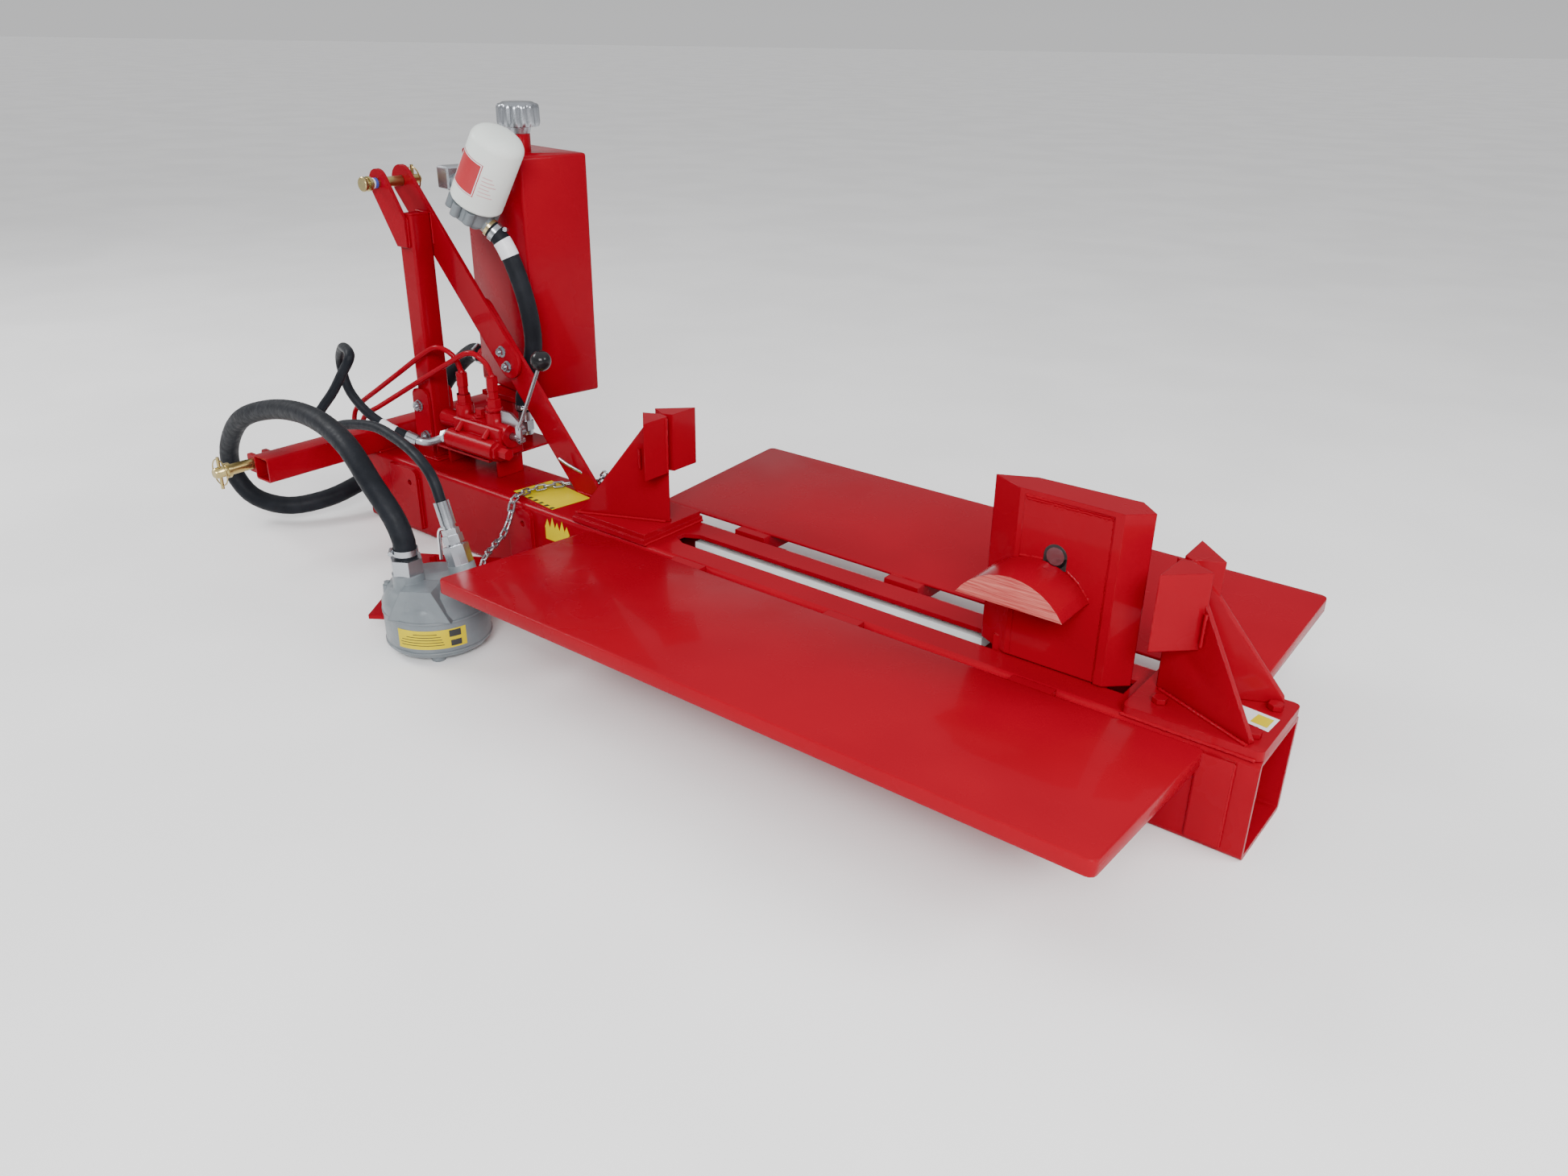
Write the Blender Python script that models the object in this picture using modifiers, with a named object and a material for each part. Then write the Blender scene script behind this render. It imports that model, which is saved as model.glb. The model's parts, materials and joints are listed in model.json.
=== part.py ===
"""Three-point-hitch hydraulic log splitter with a tractor-driven pump.

Metres, +Z up. +X runs along the beam towards its open end, +Y is the tank side,
and Z = 0 is the floor under the beam. Pieces that touch stand GAP apart.
"""

import math

import bmesh
import bpy
from mathutils import Matrix, Vector

GAP = 0.0003

# Beam
BEAM_LEFT, BEAM_RIGHT = -1.27, 1.20
BEAM_HALF = 0.10
BEAM_TOP = 0.20
BEAM_WALL = 0.010
SLOT_LEFT, SLOT_RIGHT = -0.175, 0.93
SLOT_HALF = 0.030
LUG_SPANS = ((-1.142, -1.029), (-0.659, -0.574))
STRAP_SPAN = (1.10, 1.16)

# Hydraulic cylinder inside the beam
BORE_Z = 0.12
BARREL_REAR, BARREL_FRONT = -1.20, -0.25
BARREL_RADIUS, BORE_RADIUS, ROD_RADIUS = 0.060, 0.050, 0.030
PISTON_SPAN = (-0.36, -0.315)
ROD_END = 0.7197

# Fixed wedges
BASE_TOP = 0.225
LEFT_KNIFE, LEFT_BACK, LEFT_SPREAD, LEFT_TOP = -0.205, -0.415, 0.093, 0.48
RIGHT_KNIFE, RIGHT_BACK, RIGHT_SPREAD, RIGHT_TOP = 0.976, 1.171, 0.090, 0.47
RIGHT_BASE_TOP = 0.22
PLATE = 0.012
WEDGE_BOLTS = ((1.003, -0.05), (1.003, 0.05), (1.168, -0.056), (1.168, 0.056))

# Sliding blade
BLADE_TOP = 0.538
BLADE_FOOT = 0.203
BLADE_TIPS = (0.622, 0.93)
PANEL_SPAN = (0.70, 0.873)
PANEL_TOP = 0.528
PANEL_HALF = 0.0335
EYE = (0.771, 0.426)
EYE_RADIUS, CROSS_PIN_RADIUS = 0.019, 0.015
WEB_SPAN = (0.66, 0.88)
WING_SPAN = (0.633, 0.845)
WING_BOTTOM, WING_RISE, WING_REACH = 0.355, 0.058, 0.14

# Log tables
TABLE_SPAN = (-0.345, 1.115)
TABLE_INNER, TABLE_OUTER = 0.126, 0.552
TABLE_INNER_Z, TABLE_OUTER_Z = 0.207, 0.235
TABLE_SHEET, TABLE_RIM = 0.005, 0.030
TABLE_ARMS = (-0.05, 0.37, 0.79)

# Mast
POST_SPAN = (-1.09, -1.032)
POST_HALF = 0.030
POST_TOP = 0.835
TOP_PIN = (-1.138, 0.905)
TOP_PIN_RADIUS = 0.0125
BRACE_FOOT = (-0.517, 0.20)
BRACE_HALF = 0.039
BAR = 0.010
MAST_BOLTS = ((-1.073, 0.345), (-1.054, 0.265))
BRACE_BOLTS = ((-0.80, 0.522), (-0.782, 0.487))

# Lower hitch
CROSSBAR_SPAN = (-1.265, -1.20)
CROSSBAR_HALF = 0.42
CROSSBAR_TOP = 0.265
LINK_X, LINK_Z, LINK_RADIUS = -1.283, 0.235, 0.014

# Oil tank, turned a little about the vertical
TANK_CORNER = (-0.782, 0.12)
TANK_YAW = math.radians(-10.0)
TANK_LENGTH, TANK_DEPTH = 0.290, 0.190
TANK_BOTTOM, TANK_TOP = 0.375, 0.98
NECK = (-0.87, 0.20)
NECK_TOP = 1.024

# Filter
FILTER_RIM = Vector((-0.845, 0.03, 0.882))
FILTER_LEAN = Vector((0.529, 0.059, 0.847)).normalized()
FILTER_RADIUS, FILTER_LENGTH = 0.065, 0.17

# Valve
VALVE_Y = -0.01
SPOOL_Z = 0.322
PIVOT = (-0.70, 0.352)
KNOB = (-0.597, 0.543)
LEVER_Y = -0.0187
TRAY_TOP = 0.256

# Pump lying on the floor beside the beam
PUMP = (-0.50, -0.455)
PUMP_RADIUS = 0.115
PUMP_FOOT, PUMP_TOP = 0.012, 0.19
HUB_RADIUS, SHAFT_RADIUS = 0.045, 0.0175

# Hose and tube radii
SUCTION_RADIUS, RETURN_RADIUS, PRESSURE_RADIUS = 0.0258, 0.0225, 0.0125
STEEL_TUBE_RADIUS = 0.007
CHAIN_RADIUS = 0.0095

SUCTION_ROUTE = (
    (-0.507, -0.512, 0.2255), (-0.507, -0.512, 0.260), (-0.529, -0.515, 0.312),
    (-0.585, -0.520, 0.375), (-0.703, -0.500, 0.440), (-0.893, -0.460, 0.450),
    (-1.122, -0.420, 0.412), (-1.327, -0.400, 0.342), (-1.478, -0.370, 0.232),
    (-1.525, -0.350, 0.140), (-1.478, -0.330, 0.073), (-1.395, -0.280, 0.050),
    (-1.343, -0.190, 0.058), (-1.332, -0.090, 0.078), (-1.333, 0.020, 0.108),
    (-1.330, 0.110, 0.160), (-1.322, 0.175, 0.235), (-1.295, 0.210, 0.315),
    (-1.240, 0.231, 0.380), (-1.180, 0.228, 0.418), (-1.132, 0.2120, 0.430),
    (-1.0976, 0.2059, 0.430),
)
RETURN_ROUTE = (
    (-0.8212, 0.0465, 0.8193), (-0.8074, 0.0529, 0.8063), (-0.786, 0.062, 0.770),
    (-0.763, 0.072, 0.705), (-0.746, 0.082, 0.620), (-0.748, 0.089, 0.530),
    (-0.776, 0.085, 0.440), (-0.790, 0.080, 0.390), (-0.790, 0.080, 0.3603),
)
PRESSURE_ROUTE = (
    (-1.0305, -0.1203, 0.2902), (-1.0673, -0.1397, 0.3057), (-1.140, -0.155, 0.338),
    (-1.211, -0.152, 0.378), (-1.237, -0.150, 0.423), (-1.225, -0.160, 0.470),
    (-1.138, -0.200, 0.521), (-1.050, -0.240, 0.520), (-1.083, -0.252, 0.467),
    (-1.119, -0.260, 0.419), (-1.165, -0.277, 0.362), (-1.146, -0.298, 0.338),
    (-1.080, -0.312, 0.345), (-0.960, -0.330, 0.385), (-0.826, -0.345, 0.412),
    (-0.721, -0.365, 0.415), (-0.622, -0.385, 0.405), (-0.553, -0.398, 0.380),
    (-0.5271, -0.400, 0.3468), (-0.5171, -0.400, 0.3183),
)
ELBOW_ROUTE = (
    (-0.9323, -0.052, 0.290), (-0.950, -0.052, 0.290), (-0.966, -0.064, 0.280),
    (-0.982, -0.086, 0.274), (-1.0035, -0.1060, 0.2788), (-1.030, -0.120, 0.290),
)
REAR_TUBE_ROUTE = (
    (-0.920, -0.010, 0.4303), (-0.920, -0.010, 0.455), (-0.928, -0.018, 0.492),
    (-0.952, -0.030, 0.513), (-0.987, -0.038, 0.513), (-1.040, -0.046, 0.483),
    (-1.120, -0.052, 0.432), (-1.220, -0.060, 0.368), (-1.310, -0.066, 0.310),
    (-1.346, -0.067, 0.270), (-1.354, -0.064, 0.215), (-1.332, -0.056, 0.167),
    (-1.280, -0.043, 0.151), (-1.240, -0.038, 0.150), (-1.2003, -0.038, 0.150),
)
FRONT_TUBE_ROUTE = (
    (-0.800, -0.010, 0.4403), (-0.800, -0.010, 0.465), (-0.805, -0.018, 0.497),
    (-0.825, -0.032, 0.521), (-0.858, -0.038, 0.520), (-0.920, -0.046, 0.487),
    (-1.030, -0.054, 0.426), (-1.120, -0.058, 0.376), (-1.220, -0.064, 0.320),
    (-1.285, -0.070, 0.283), (-1.306, -0.074, 0.245), (-1.307, -0.077, 0.195),
    (-1.290, -0.079, 0.160), (-1.240, -0.079, 0.140), (-1.180, -0.079, 0.090),
    (-1.120, -0.079, 0.055), (-1.000, -0.079, 0.050), (-0.500, -0.079, 0.050),
    (-0.340, -0.078, 0.050), (-0.308, -0.076, 0.054), (-0.290, -0.0660, 0.0665),
    (-0.290, -0.0475, 0.0815),
)
CHAIN_ROUTE = (
    (-0.480, 0.062, 0.265), (-0.520, 0.070, 0.228), (-0.585, 0.068, 0.212),
    (-0.622, 0.018, 0.211), (-0.640, -0.036, 0.211), (-0.632, -0.092, 0.2125),
    (-0.626, -0.117, 0.203), (-0.630, -0.127, 0.165), (-0.620, -0.160, 0.132),
    (-0.600, -0.205, 0.124), (-0.565, -0.265, 0.118), (-0.546, -0.300, 0.084),
)

FINISHES = {
    "red": ((0.52, 0.010, 0.014), 0.26, 0.0),
    "black": ((0.02, 0.02, 0.022), 0.55, 0.0),
    "zinc": ((0.62, 0.63, 0.65), 0.35, 1.0),
    "yellow_zinc": ((0.55, 0.42, 0.16), 0.35, 1.0),
    "cast": ((0.33, 0.35, 0.37), 0.55, 0.2),
    "chrome": ((0.80, 0.80, 0.82), 0.10, 1.0),
    "white": ((0.80, 0.81, 0.80), 0.30, 0.0),
    "steel": ((0.30, 0.30, 0.31), 0.45, 1.0),
}


def clear_scene():
    for item in list(bpy.data.objects):
        bpy.data.objects.remove(item, do_unlink=True)


def new_collection(name, hidden):
    made = bpy.data.collections.new(name)
    bpy.context.scene.collection.children.link(made)
    made.hide_render = hidden
    return made


clear_scene()
PARTS = new_collection("log_splitter", False)
CUTTERS = new_collection("cutters", True)


def keep(shape, name):
    """Turns a finished bmesh into an object of the assembly."""
    shape.normal_update()
    bmesh.ops.recalc_face_normals(shape, faces=shape.faces)
    mesh = bpy.data.meshes.new(name)
    shape.to_mesh(mesh)
    shape.free()
    made = bpy.data.objects.new(name, mesh)
    PARTS.objects.link(made)
    return made


def aim(position, direction):
    turn = Vector(direction).to_track_quat("Z", "Y").to_matrix().to_4x4()
    return Matrix.Translation(Vector(position)) @ turn


def box(name, low, high):
    shape = bmesh.new()
    bmesh.ops.create_cube(shape, size=1.0)
    size = Vector(high) - Vector(low)
    middle = (Vector(high) + Vector(low)) / 2
    shape.transform(Matrix.Translation(middle) @ Matrix.Diagonal((*size, 1.0)))
    return keep(shape, name)


def rod(name, start, end, radius, sides=24, end_radius=None):
    """A round bar, or a hexagon with sides=6, between two points."""
    start, end = Vector(start), Vector(end)
    shape = bmesh.new()
    bmesh.ops.create_cone(
        shape,
        cap_ends=True,
        segments=sides,
        radius1=radius,
        radius2=radius if end_radius is None else end_radius,
        depth=(end - start).length,
    )
    shape.transform(aim((start + end) / 2, end - start))
    return keep(shape, name)


def ball(name, centre, radius):
    shape = bmesh.new()
    bmesh.ops.create_uvsphere(shape, u_segments=20, v_segments=12, radius=radius)
    shape.transform(Matrix.Translation(Vector(centre)))
    return keep(shape, name)


def mesh_of_curve(curve, name, placement):
    guide = bpy.data.objects.new(name, curve)
    bpy.context.scene.collection.objects.link(guide)
    bpy.context.view_layer.update()
    graph = bpy.context.evaluated_depsgraph_get()
    mesh = bpy.data.meshes.new_from_object(guide.evaluated_get(graph))
    bpy.data.objects.remove(guide)
    shape = bmesh.new()
    shape.from_mesh(mesh)
    bmesh.ops.remove_doubles(shape, verts=shape.verts, dist=0.00001)
    shape.transform(placement)
    return keep(shape, name)


def plate(name, outline, thickness, middle, across, up, holes=()):
    """A flat piece: an outline in the plane of across and up, with holes."""
    curve = bpy.data.curves.new(name, "CURVE")
    curve.dimensions = "2D"
    curve.fill_mode = "BOTH"
    curve.extrude = thickness / 2
    for loop in (outline, *holes):
        spline = curve.splines.new("POLY")
        spline.points.add(len(loop) - 1)
        for point, (x, y) in zip(spline.points, loop):
            point.co = (x, y, 0.0, 1.0)
        spline.use_cyclic_u = True
    across, up = Vector(across), Vector(up)
    turn = Matrix((across, up, across.cross(up))).transposed().to_4x4()
    return mesh_of_curve(curve, name, Matrix.Translation(Vector(middle)) @ turn)


def upright(name, outline, near, far, holes=()):
    """A plate standing along X, from Y = near to Y = far, outlined in X and Z."""
    middle = (0, (near + far) / 2, 0)
    return plate(name, outline, abs(far - near), middle, (1, 0, 0), (0, 0, 1), holes)


def level(name, outline, low, high, holes=()):
    """A plate lying flat, outlined in X and Y."""
    middle = (0, 0, (low + high) / 2)
    return plate(name, outline, high - low, middle, (1, 0, 0), (0, 1, 0), holes)


def turned(name, profile, base, axis, steps=32):
    """A lathe-turned piece: (radius, height) points down its outer side."""
    mesh = bpy.data.meshes.new(name)
    points = [(radius, 0.0, height) for radius, height in profile]
    edges = [(i, i + 1) for i in range(len(points) - 1)]
    mesh.from_pydata(points, edges, [])
    made = bpy.data.objects.new(name, mesh)
    PARTS.objects.link(made)
    screw = made.modifiers.new("turn", "SCREW")
    screw.steps = screw.render_steps = steps
    screw.use_merge_vertices = True
    screw.merge_threshold = 0.0001
    made.matrix_world = aim(base, axis)
    return made


def spline_points(route, spacing):
    """Points about spacing apart on a smooth curve with a straight leg at each end."""
    knots = [Vector(point) for point in route]
    found = knots[:2]
    for before, start, end, after in zip(knots, knots[1:], knots[2:], knots[3:]):
        pieces = max(1, round((end - start).length / spacing))
        for piece in range(1, pieces + 1):
            t = piece / pieces
            bend = 2 * start + (end - before) * t
            bend += (2 * before - 5 * start + 4 * end - after) * t**2
            bend += (3 * start - before - 3 * end + after) * t**3
            found.append(bend / 2)
    return [*found, knots[-1]]


def tube(name, points, radius, detail=3, closed=False):
    curve = bpy.data.curves.new(name, "CURVE")
    curve.dimensions = "3D"
    curve.bevel_depth = radius
    curve.bevel_resolution = detail
    curve.use_fill_caps = not closed
    spline = curve.splines.new("POLY")
    spline.points.add(len(points) - 1)
    for point, place in zip(spline.points, points):
        point.co = (*place, 1.0)
    spline.use_cyclic_u = closed
    return mesh_of_curve(curve, name, Matrix())


def combine(target, tool, operation):
    change = target.modifiers.new(tool.name, "BOOLEAN")
    change.operation = operation
    change.solver = "EXACT"
    change.object = tool
    if tool.name in PARTS.objects:
        PARTS.objects.unlink(tool)
        CUTTERS.objects.link(tool)
    tool.hide_render = True
    tool.display_type = "WIRE"
    return target


def join(target, *tools):
    for tool in tools:
        combine(target, tool, "UNION")
    return target


def cut(target, *tools):
    for tool in tools:
        combine(target, tool, "DIFFERENCE")
    return target


def soften(target, width, segments=1):
    edge = target.modifiers.new("edges", "BEVEL")
    edge.width = width
    edge.segments = segments
    edge.limit_method = "ANGLE"
    edge.angle_limit = math.radians(50)
    return target


def circle(centre, radius, count=20):
    turns = [2 * math.pi * i / count for i in range(count)]
    return [(centre[0] + radius * math.cos(a), centre[1] + radius * math.sin(a)) for a in turns]


def arc(centre, radius, first, last, count):
    """Points on an arc between two angles in degrees."""
    steps = [math.radians(first + (last - first) * i / count) for i in range(count + 1)]
    return [(centre[0] + radius * math.cos(a), centre[1] + radius * math.sin(a)) for a in steps]


def rounded(low, high, radius, count=3):
    """A rectangle with rounded corners."""
    corners = (
        (high[0] - radius, high[1] - radius, 0),
        (low[0] + radius, high[1] - radius, 90),
        (low[0] + radius, low[1] + radius, 180),
        (high[0] - radius, low[1] + radius, 270),
    )
    points = []
    for x, y, start in corners:
        points += arc((x, y), radius, start, start + 90, count)
    return points


def bore(name, start, end, radius, sides=20):
    return rod(name + "_bore", start, end, radius, sides)


def bolt(name, head, direction, length, radius, nut=None):
    """A hexagon bolt: head is the middle of the face under its head."""
    head, direction = Vector(head), Vector(direction).normalized()
    across = radius * 1.75
    made = rod(name, head, head - direction * radius * 1.3, across, 6)
    join(made, rod(name + "_shank", head - direction * 0.002, head + direction * length, radius, 16))
    if nut is not None:
        start = head + direction * nut
        join(made, rod(name + "_nut", start, start + direction * radius * 1.5, across, 6))
    return made


def v_outline(knife, back, spread, thickness):
    """Plan of two plates that meet at a knife edge and open out to |Y| = spread."""
    run = back - knife
    length = math.hypot(run, spread)
    inward = thickness * length / spread * math.copysign(1, run)
    shift_x = thickness * spread / length * math.copysign(1, run)
    shift_y = thickness * abs(run) / length
    return [
        (knife, 0.0),
        (back, spread),
        (back + shift_x, spread - shift_y),
        (knife + inward, 0.0),
        (back + shift_x, shift_y - spread),
        (back, -spread),
    ]


def mirrored(outline):
    return [(x, -y) for x, y in outline]


def tank_point(along, deep, height):
    """A point from distances along the tank, into it, and above the floor."""
    cosine, sine = math.cos(TANK_YAW), math.sin(TANK_YAW)
    x = TANK_CORNER[0] + along * cosine - deep * sine
    y = TANK_CORNER[1] + along * sine + deep * cosine
    return Vector((x, y, height))


def build_beam():
    outside = rounded((-BEAM_HALF, 0.0), (BEAM_HALF, BEAM_TOP), 0.0115)
    inner = BEAM_HALF - BEAM_WALL
    inside = rounded((-inner, BEAM_WALL), (inner, BEAM_TOP - BEAM_WALL), 0.004, 2)
    middle = ((BEAM_LEFT + BEAM_RIGHT) / 2, 0, 0)
    length = BEAM_RIGHT - BEAM_LEFT
    beam = plate("beam_tube", outside, length, middle, (0, 1, 0), (0, 0, 1), [inside])
    taper = SLOT_LEFT + 0.035
    slot = [
        (SLOT_LEFT, -0.012), (taper, -SLOT_HALF), (SLOT_RIGHT, -SLOT_HALF),
        (SLOT_RIGHT, SLOT_HALF), (taper, SLOT_HALF), (SLOT_LEFT, 0.012),
    ]
    cut(beam, level("beam_slot", slot, BEAM_TOP - 0.02, BEAM_TOP + 0.02))
    for number, (left, right) in enumerate(LUG_SPANS):
        outline = [(left, 0.02), (right, 0.02), *arc((right - 0.02, 0.168), 0.02, 0, 90, 4), (left, 0.188)]
        hole = circle((right - 0.03, 0.15), 0.008, 12)
        join(beam, upright(f"beam_lug_{number}", outline, -0.110, -0.095, [hole]))
    for side in (-1, 1):
        low, high = sorted((side * 0.094, side * 0.106))
        join(beam, box(f"beam_strap_{side}", (STRAP_SPAN[0], low, 0.014), (STRAP_SPAN[1], high, 0.186)))
    for side in (-1, 1):
        low, high = sorted((side * 0.0165, side * 0.0285))
        ear = [(-1.246, 0.005), (-1.204, 0.005), (-1.204, 0.125), *arc((-1.225, 0.125), 0.021, 0, 180, 8), (-1.246, 0.125)]
        join(beam, upright(f"anchor_ear_{side}", ear, low, high, [circle((-1.222, BORE_Z), 0.0129)]))
    for x, y in WEDGE_BOLTS:
        cut(beam, bore("beam", (x, y, 0.18), (x, y, 0.21), 0.0085, 16))
    return beam


def wedge_wing(name, outline, low, high):
    return level(name, outline, low, high)


def build_left_wedge():
    base = box("left_wedge_base", (-0.43, -0.10, BEAM_TOP + GAP), (-0.195, 0.10, 0.2125))
    join(base, box("left_base_upper", (-0.425, -0.095, 0.2115), (-0.198, 0.095, BASE_TOP)))
    outline = v_outline(LEFT_KNIFE, LEFT_BACK, LEFT_SPREAD, PLATE)
    blades = level("left_wedge_blades", outline, BASE_TOP + GAP, LEFT_TOP)
    slope = [(-0.4155, 0.2225), (-0.2270, 0.496), (-0.2270, 0.60), (-0.60, 0.60), (-0.60, 0.2225)]
    cut(blades, upright("left_wedge_slope", slope, -0.2, 0.2))
    wing = [(-0.198, 0.010), (-0.198, 0.085), (-0.262, 0.020), (-0.225, 0.002)]
    join(blades, wedge_wing("left_wing_far", wing, 0.35, 0.483))
    join(blades, wedge_wing("left_wing_near", mirrored(wing), 0.35, 0.483))


def build_right_wedge():
    outline = rounded((0.955, -0.10), (1.20, 0.10), 0.012)
    holes = [circle(place, 0.0085, 16) for place in WEDGE_BOLTS]
    level("right_wedge_base", outline, BEAM_TOP + GAP, RIGHT_BASE_TOP, holes)
    outline = v_outline(RIGHT_KNIFE, RIGHT_BACK, RIGHT_SPREAD, PLATE)
    blades = level("right_wedge_blades", outline, RIGHT_BASE_TOP + GAP, RIGHT_TOP)
    slope = [(1.178, 0.2222), (0.9977, 0.485), (0.9977, 0.60), (1.40, 0.60), (1.40, 0.2222)]
    cut(blades, upright("right_wedge_slope", slope, -0.2, 0.2))
    wing = [(0.985, 0.011), (0.983, 0.095), (1.050, 0.029), (1.0, 0.003)]
    join(blades, wedge_wing("right_wing_far", wing, 0.33, 0.473))
    join(blades, wedge_wing("right_wing_near", mirrored(wing), 0.33, 0.473))
    for number, (x, y) in enumerate(WEDGE_BOLTS, 1):
        bolt(f"wedge_bolt_{number}", (x, y, RIGHT_BASE_TOP + GAP), (0, 0, -1), 0.036, 0.008)


def build_carriage():
    left, right = BLADE_TIPS
    outline = [(left, 0), (0.69, -0.034), (0.89, -0.038), (right, 0), (0.89, 0.038), (0.69, 0.034)]
    blade = level("splitting_blade", outline, BLADE_FOOT, BLADE_TOP)
    for side in (-1, 1):
        low, high = sorted((side * PANEL_HALF, side * 0.06))
        cut(blade, box(f"blade_panel_{side}", (PANEL_SPAN[0], low, 0.19), (PANEL_SPAN[1], high, PANEL_TOP)))
    join(blade, box("blade_web", (WEB_SPAN[0], -0.0255, 0.189), (WEB_SPAN[1], 0.0255, 0.23)))
    eye = bore("eye", (EYE[0], -0.06, EYE[1]), (EYE[0], 0.06, EYE[1]), EYE_RADIUS, 24)
    cut(blade, eye)
    middle = (WING_SPAN[0] + WING_SPAN[1]) / 2
    half = (WING_SPAN[1] - WING_SPAN[0]) / 2
    radius = (half**2 + WING_RISE**2) / (2 * WING_RISE)
    reach = math.degrees(math.asin(half / radius))
    centre = (middle, WING_BOTTOM + WING_RISE - radius)
    section = arc(centre, radius, 90 - reach, 90 + reach, 12)
    clearance = 0.0344
    body = [
        (left - 0.0007, 0), (0.69, -clearance), (PANEL_SPAN[0] + GAP, -clearance),
        (PANEL_SPAN[0] + GAP, -PANEL_HALF - GAP), (0.90, -PANEL_HALF - GAP),
        (0.90, PANEL_HALF + GAP), (PANEL_SPAN[0] + GAP, PANEL_HALF + GAP),
        (PANEL_SPAN[0] + GAP, clearance), (0.69, clearance),
    ]
    for side, name in ((-1, "side_wing_near"), (1, "side_wing_far")):
        wing = upright(name, section, side * 0.005, side * WING_REACH)
        cut(wing, level(name + "_seat", body, 0.30, 0.50))
        cut(wing, bore(name, (EYE[0], -0.06, EYE[1]), (EYE[0], 0.06, EYE[1]), EYE_RADIUS, 24))
    rod("cross_pin", (EYE[0], -0.033, EYE[1]), (EYE[0], 0.033, EYE[1]), CROSS_PIN_RADIUS)
    shoe = box("slide_shoe", (WEB_SPAN[0], -0.08, 0.171), (WEB_SPAN[1], 0.08, 0.1887))
    join(shoe, box("shoe_block", (ROD_END + GAP, -0.04, 0.08), (0.80, 0.04, 0.175)))


def build_cylinder():
    profile = [
        (0.0, BARREL_REAR + 0.015), (BORE_RADIUS, BARREL_REAR + 0.015),
        (BORE_RADIUS, BARREL_FRONT - 0.025), (ROD_RADIUS + GAP * 2, BARREL_FRONT - 0.025),
        (ROD_RADIUS + GAP * 2, BARREL_FRONT), (BARREL_RADIUS, BARREL_FRONT),
        (BARREL_RADIUS, BARREL_REAR), (0.0, BARREL_REAR),
    ]
    barrel = turned("cylinder_barrel", profile, (0, 0, BORE_Z), (1, 0, 0))
    eye = [(-1.196, 0.10), (-1.196, 0.14), *arc((-1.222, BORE_Z), 0.02, 90, 270, 8)]
    join(barrel, upright("barrel_eye", eye, -0.014, 0.014))
    cut(barrel, bore("barrel_eye", (-1.222, -0.03, BORE_Z), (-1.222, 0.03, BORE_Z), 0.0128))
    rod("cylinder_anchor_pin", (-1.222, -0.030, BORE_Z), (-1.222, 0.030, BORE_Z), 0.0125)
    first, last = PISTON_SPAN
    profile = [
        (0.0, ROD_END), (ROD_RADIUS, ROD_END), (ROD_RADIUS, last),
        (BORE_RADIUS - GAP * 2, last), (BORE_RADIUS - GAP * 2, first), (0.0, first),
    ]
    turned("cylinder_rod", profile, (0, 0, BORE_Z), (1, 0, 0))


def build_table(name, side):
    """A shallow pan, higher at its outer edge, on three arms from the beam."""
    width = math.hypot(TABLE_OUTER - TABLE_INNER, TABLE_OUTER_Z - TABLE_INNER_Z)
    left, right = TABLE_SPAN
    tilt = math.asin((TABLE_OUTER_Z - TABLE_INNER_Z) / width)
    across, up = Vector((0, side * math.cos(tilt), math.sin(tilt))), Vector((1, 0, 0))
    normal = across.cross(up)
    if normal.z > 0:
        down = -normal
    else:
        down = normal
    corner = Vector((0, side * TABLE_INNER, TABLE_INNER_Z))
    outline = rounded((0.0, left), (width, right), 0.014)
    rim = corner + down * TABLE_RIM / 2
    table = plate(name, outline, TABLE_RIM, rim, across, up)
    soften(table, 0.003, 2)
    inset = TABLE_SHEET
    hollow = rounded((-0.02, left + inset), (width - inset, right - inset), 0.009)
    space = corner + down * (inset + 0.05)
    cut(table, plate(name + "_hollow", hollow, 0.10, space, across, up))
    for number, middle in enumerate(TABLE_ARMS):
        low, high = sorted((side * (BEAM_HALF + GAP), side * 0.20))
        arm = box(f"{name}_arm_{number}", (middle - 0.043, low, 0.165), (middle + 0.043, high, 0.2045))
        join(table, arm)


def build_mast():
    left, right = POST_SPAN
    foot_top = BEAM_TOP + 0.010
    outline = rounded((left, -POST_HALF), (right, POST_HALF), 0.006)
    post = level("mast_post", outline, foot_top + GAP, POST_TOP)
    side = POST_HALF + GAP
    cheek = [(-1.10, 0.2015), (-1.035, 0.2015), (-1.035, 0.37), *arc((-1.055, 0.37), 0.02, 0, 90, 4),
             *arc((-1.08, 0.37), 0.02, 90, 180, 4)]
    holes = [circle(place, 0.0085, 16) for place in MAST_BOLTS]
    foot = box("mast_foot", (-1.115, -side - BAR, BEAM_TOP + GAP), (-1.02, side + BAR, foot_top))
    join(foot, upright("foot_cheek_near", cheek, -side - BAR + 0.0002, -side, holes))
    join(foot, upright("foot_cheek_far", cheek, side, side + BAR - 0.0002, holes))
    for name, (x, z) in zip(("mast_bolt_upper", "mast_bolt_lower"), MAST_BOLTS):
        cut(post, bore(name, (x, -0.05, z), (x, 0.05, z), 0.0085, 16))
        head = (x, -side - BAR - GAP, z)
        bolt(name, head, (0, 1, 0), 0.098, 0.008, nut=2 * side + 2 * BAR + 2 * GAP)
    lean = Vector((0.544, -0.839))
    tangent = math.degrees(math.atan2(0.544, 0.839))
    start = Vector(TOP_PIN)
    edge = start + Vector((0.839, 0.544)) * 0.034
    knee = edge + lean * (-1.045 - edge.x) / lean.x
    outline = [*arc(TOP_PIN, 0.034, tangent, tangent + 180, 12), (-1.085, 0.757), (-1.045, 0.757), tuple(knee)]
    upright("mast_cheek_near", outline, -side - BAR, -side, [circle(TOP_PIN, 0.0129)])


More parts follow.
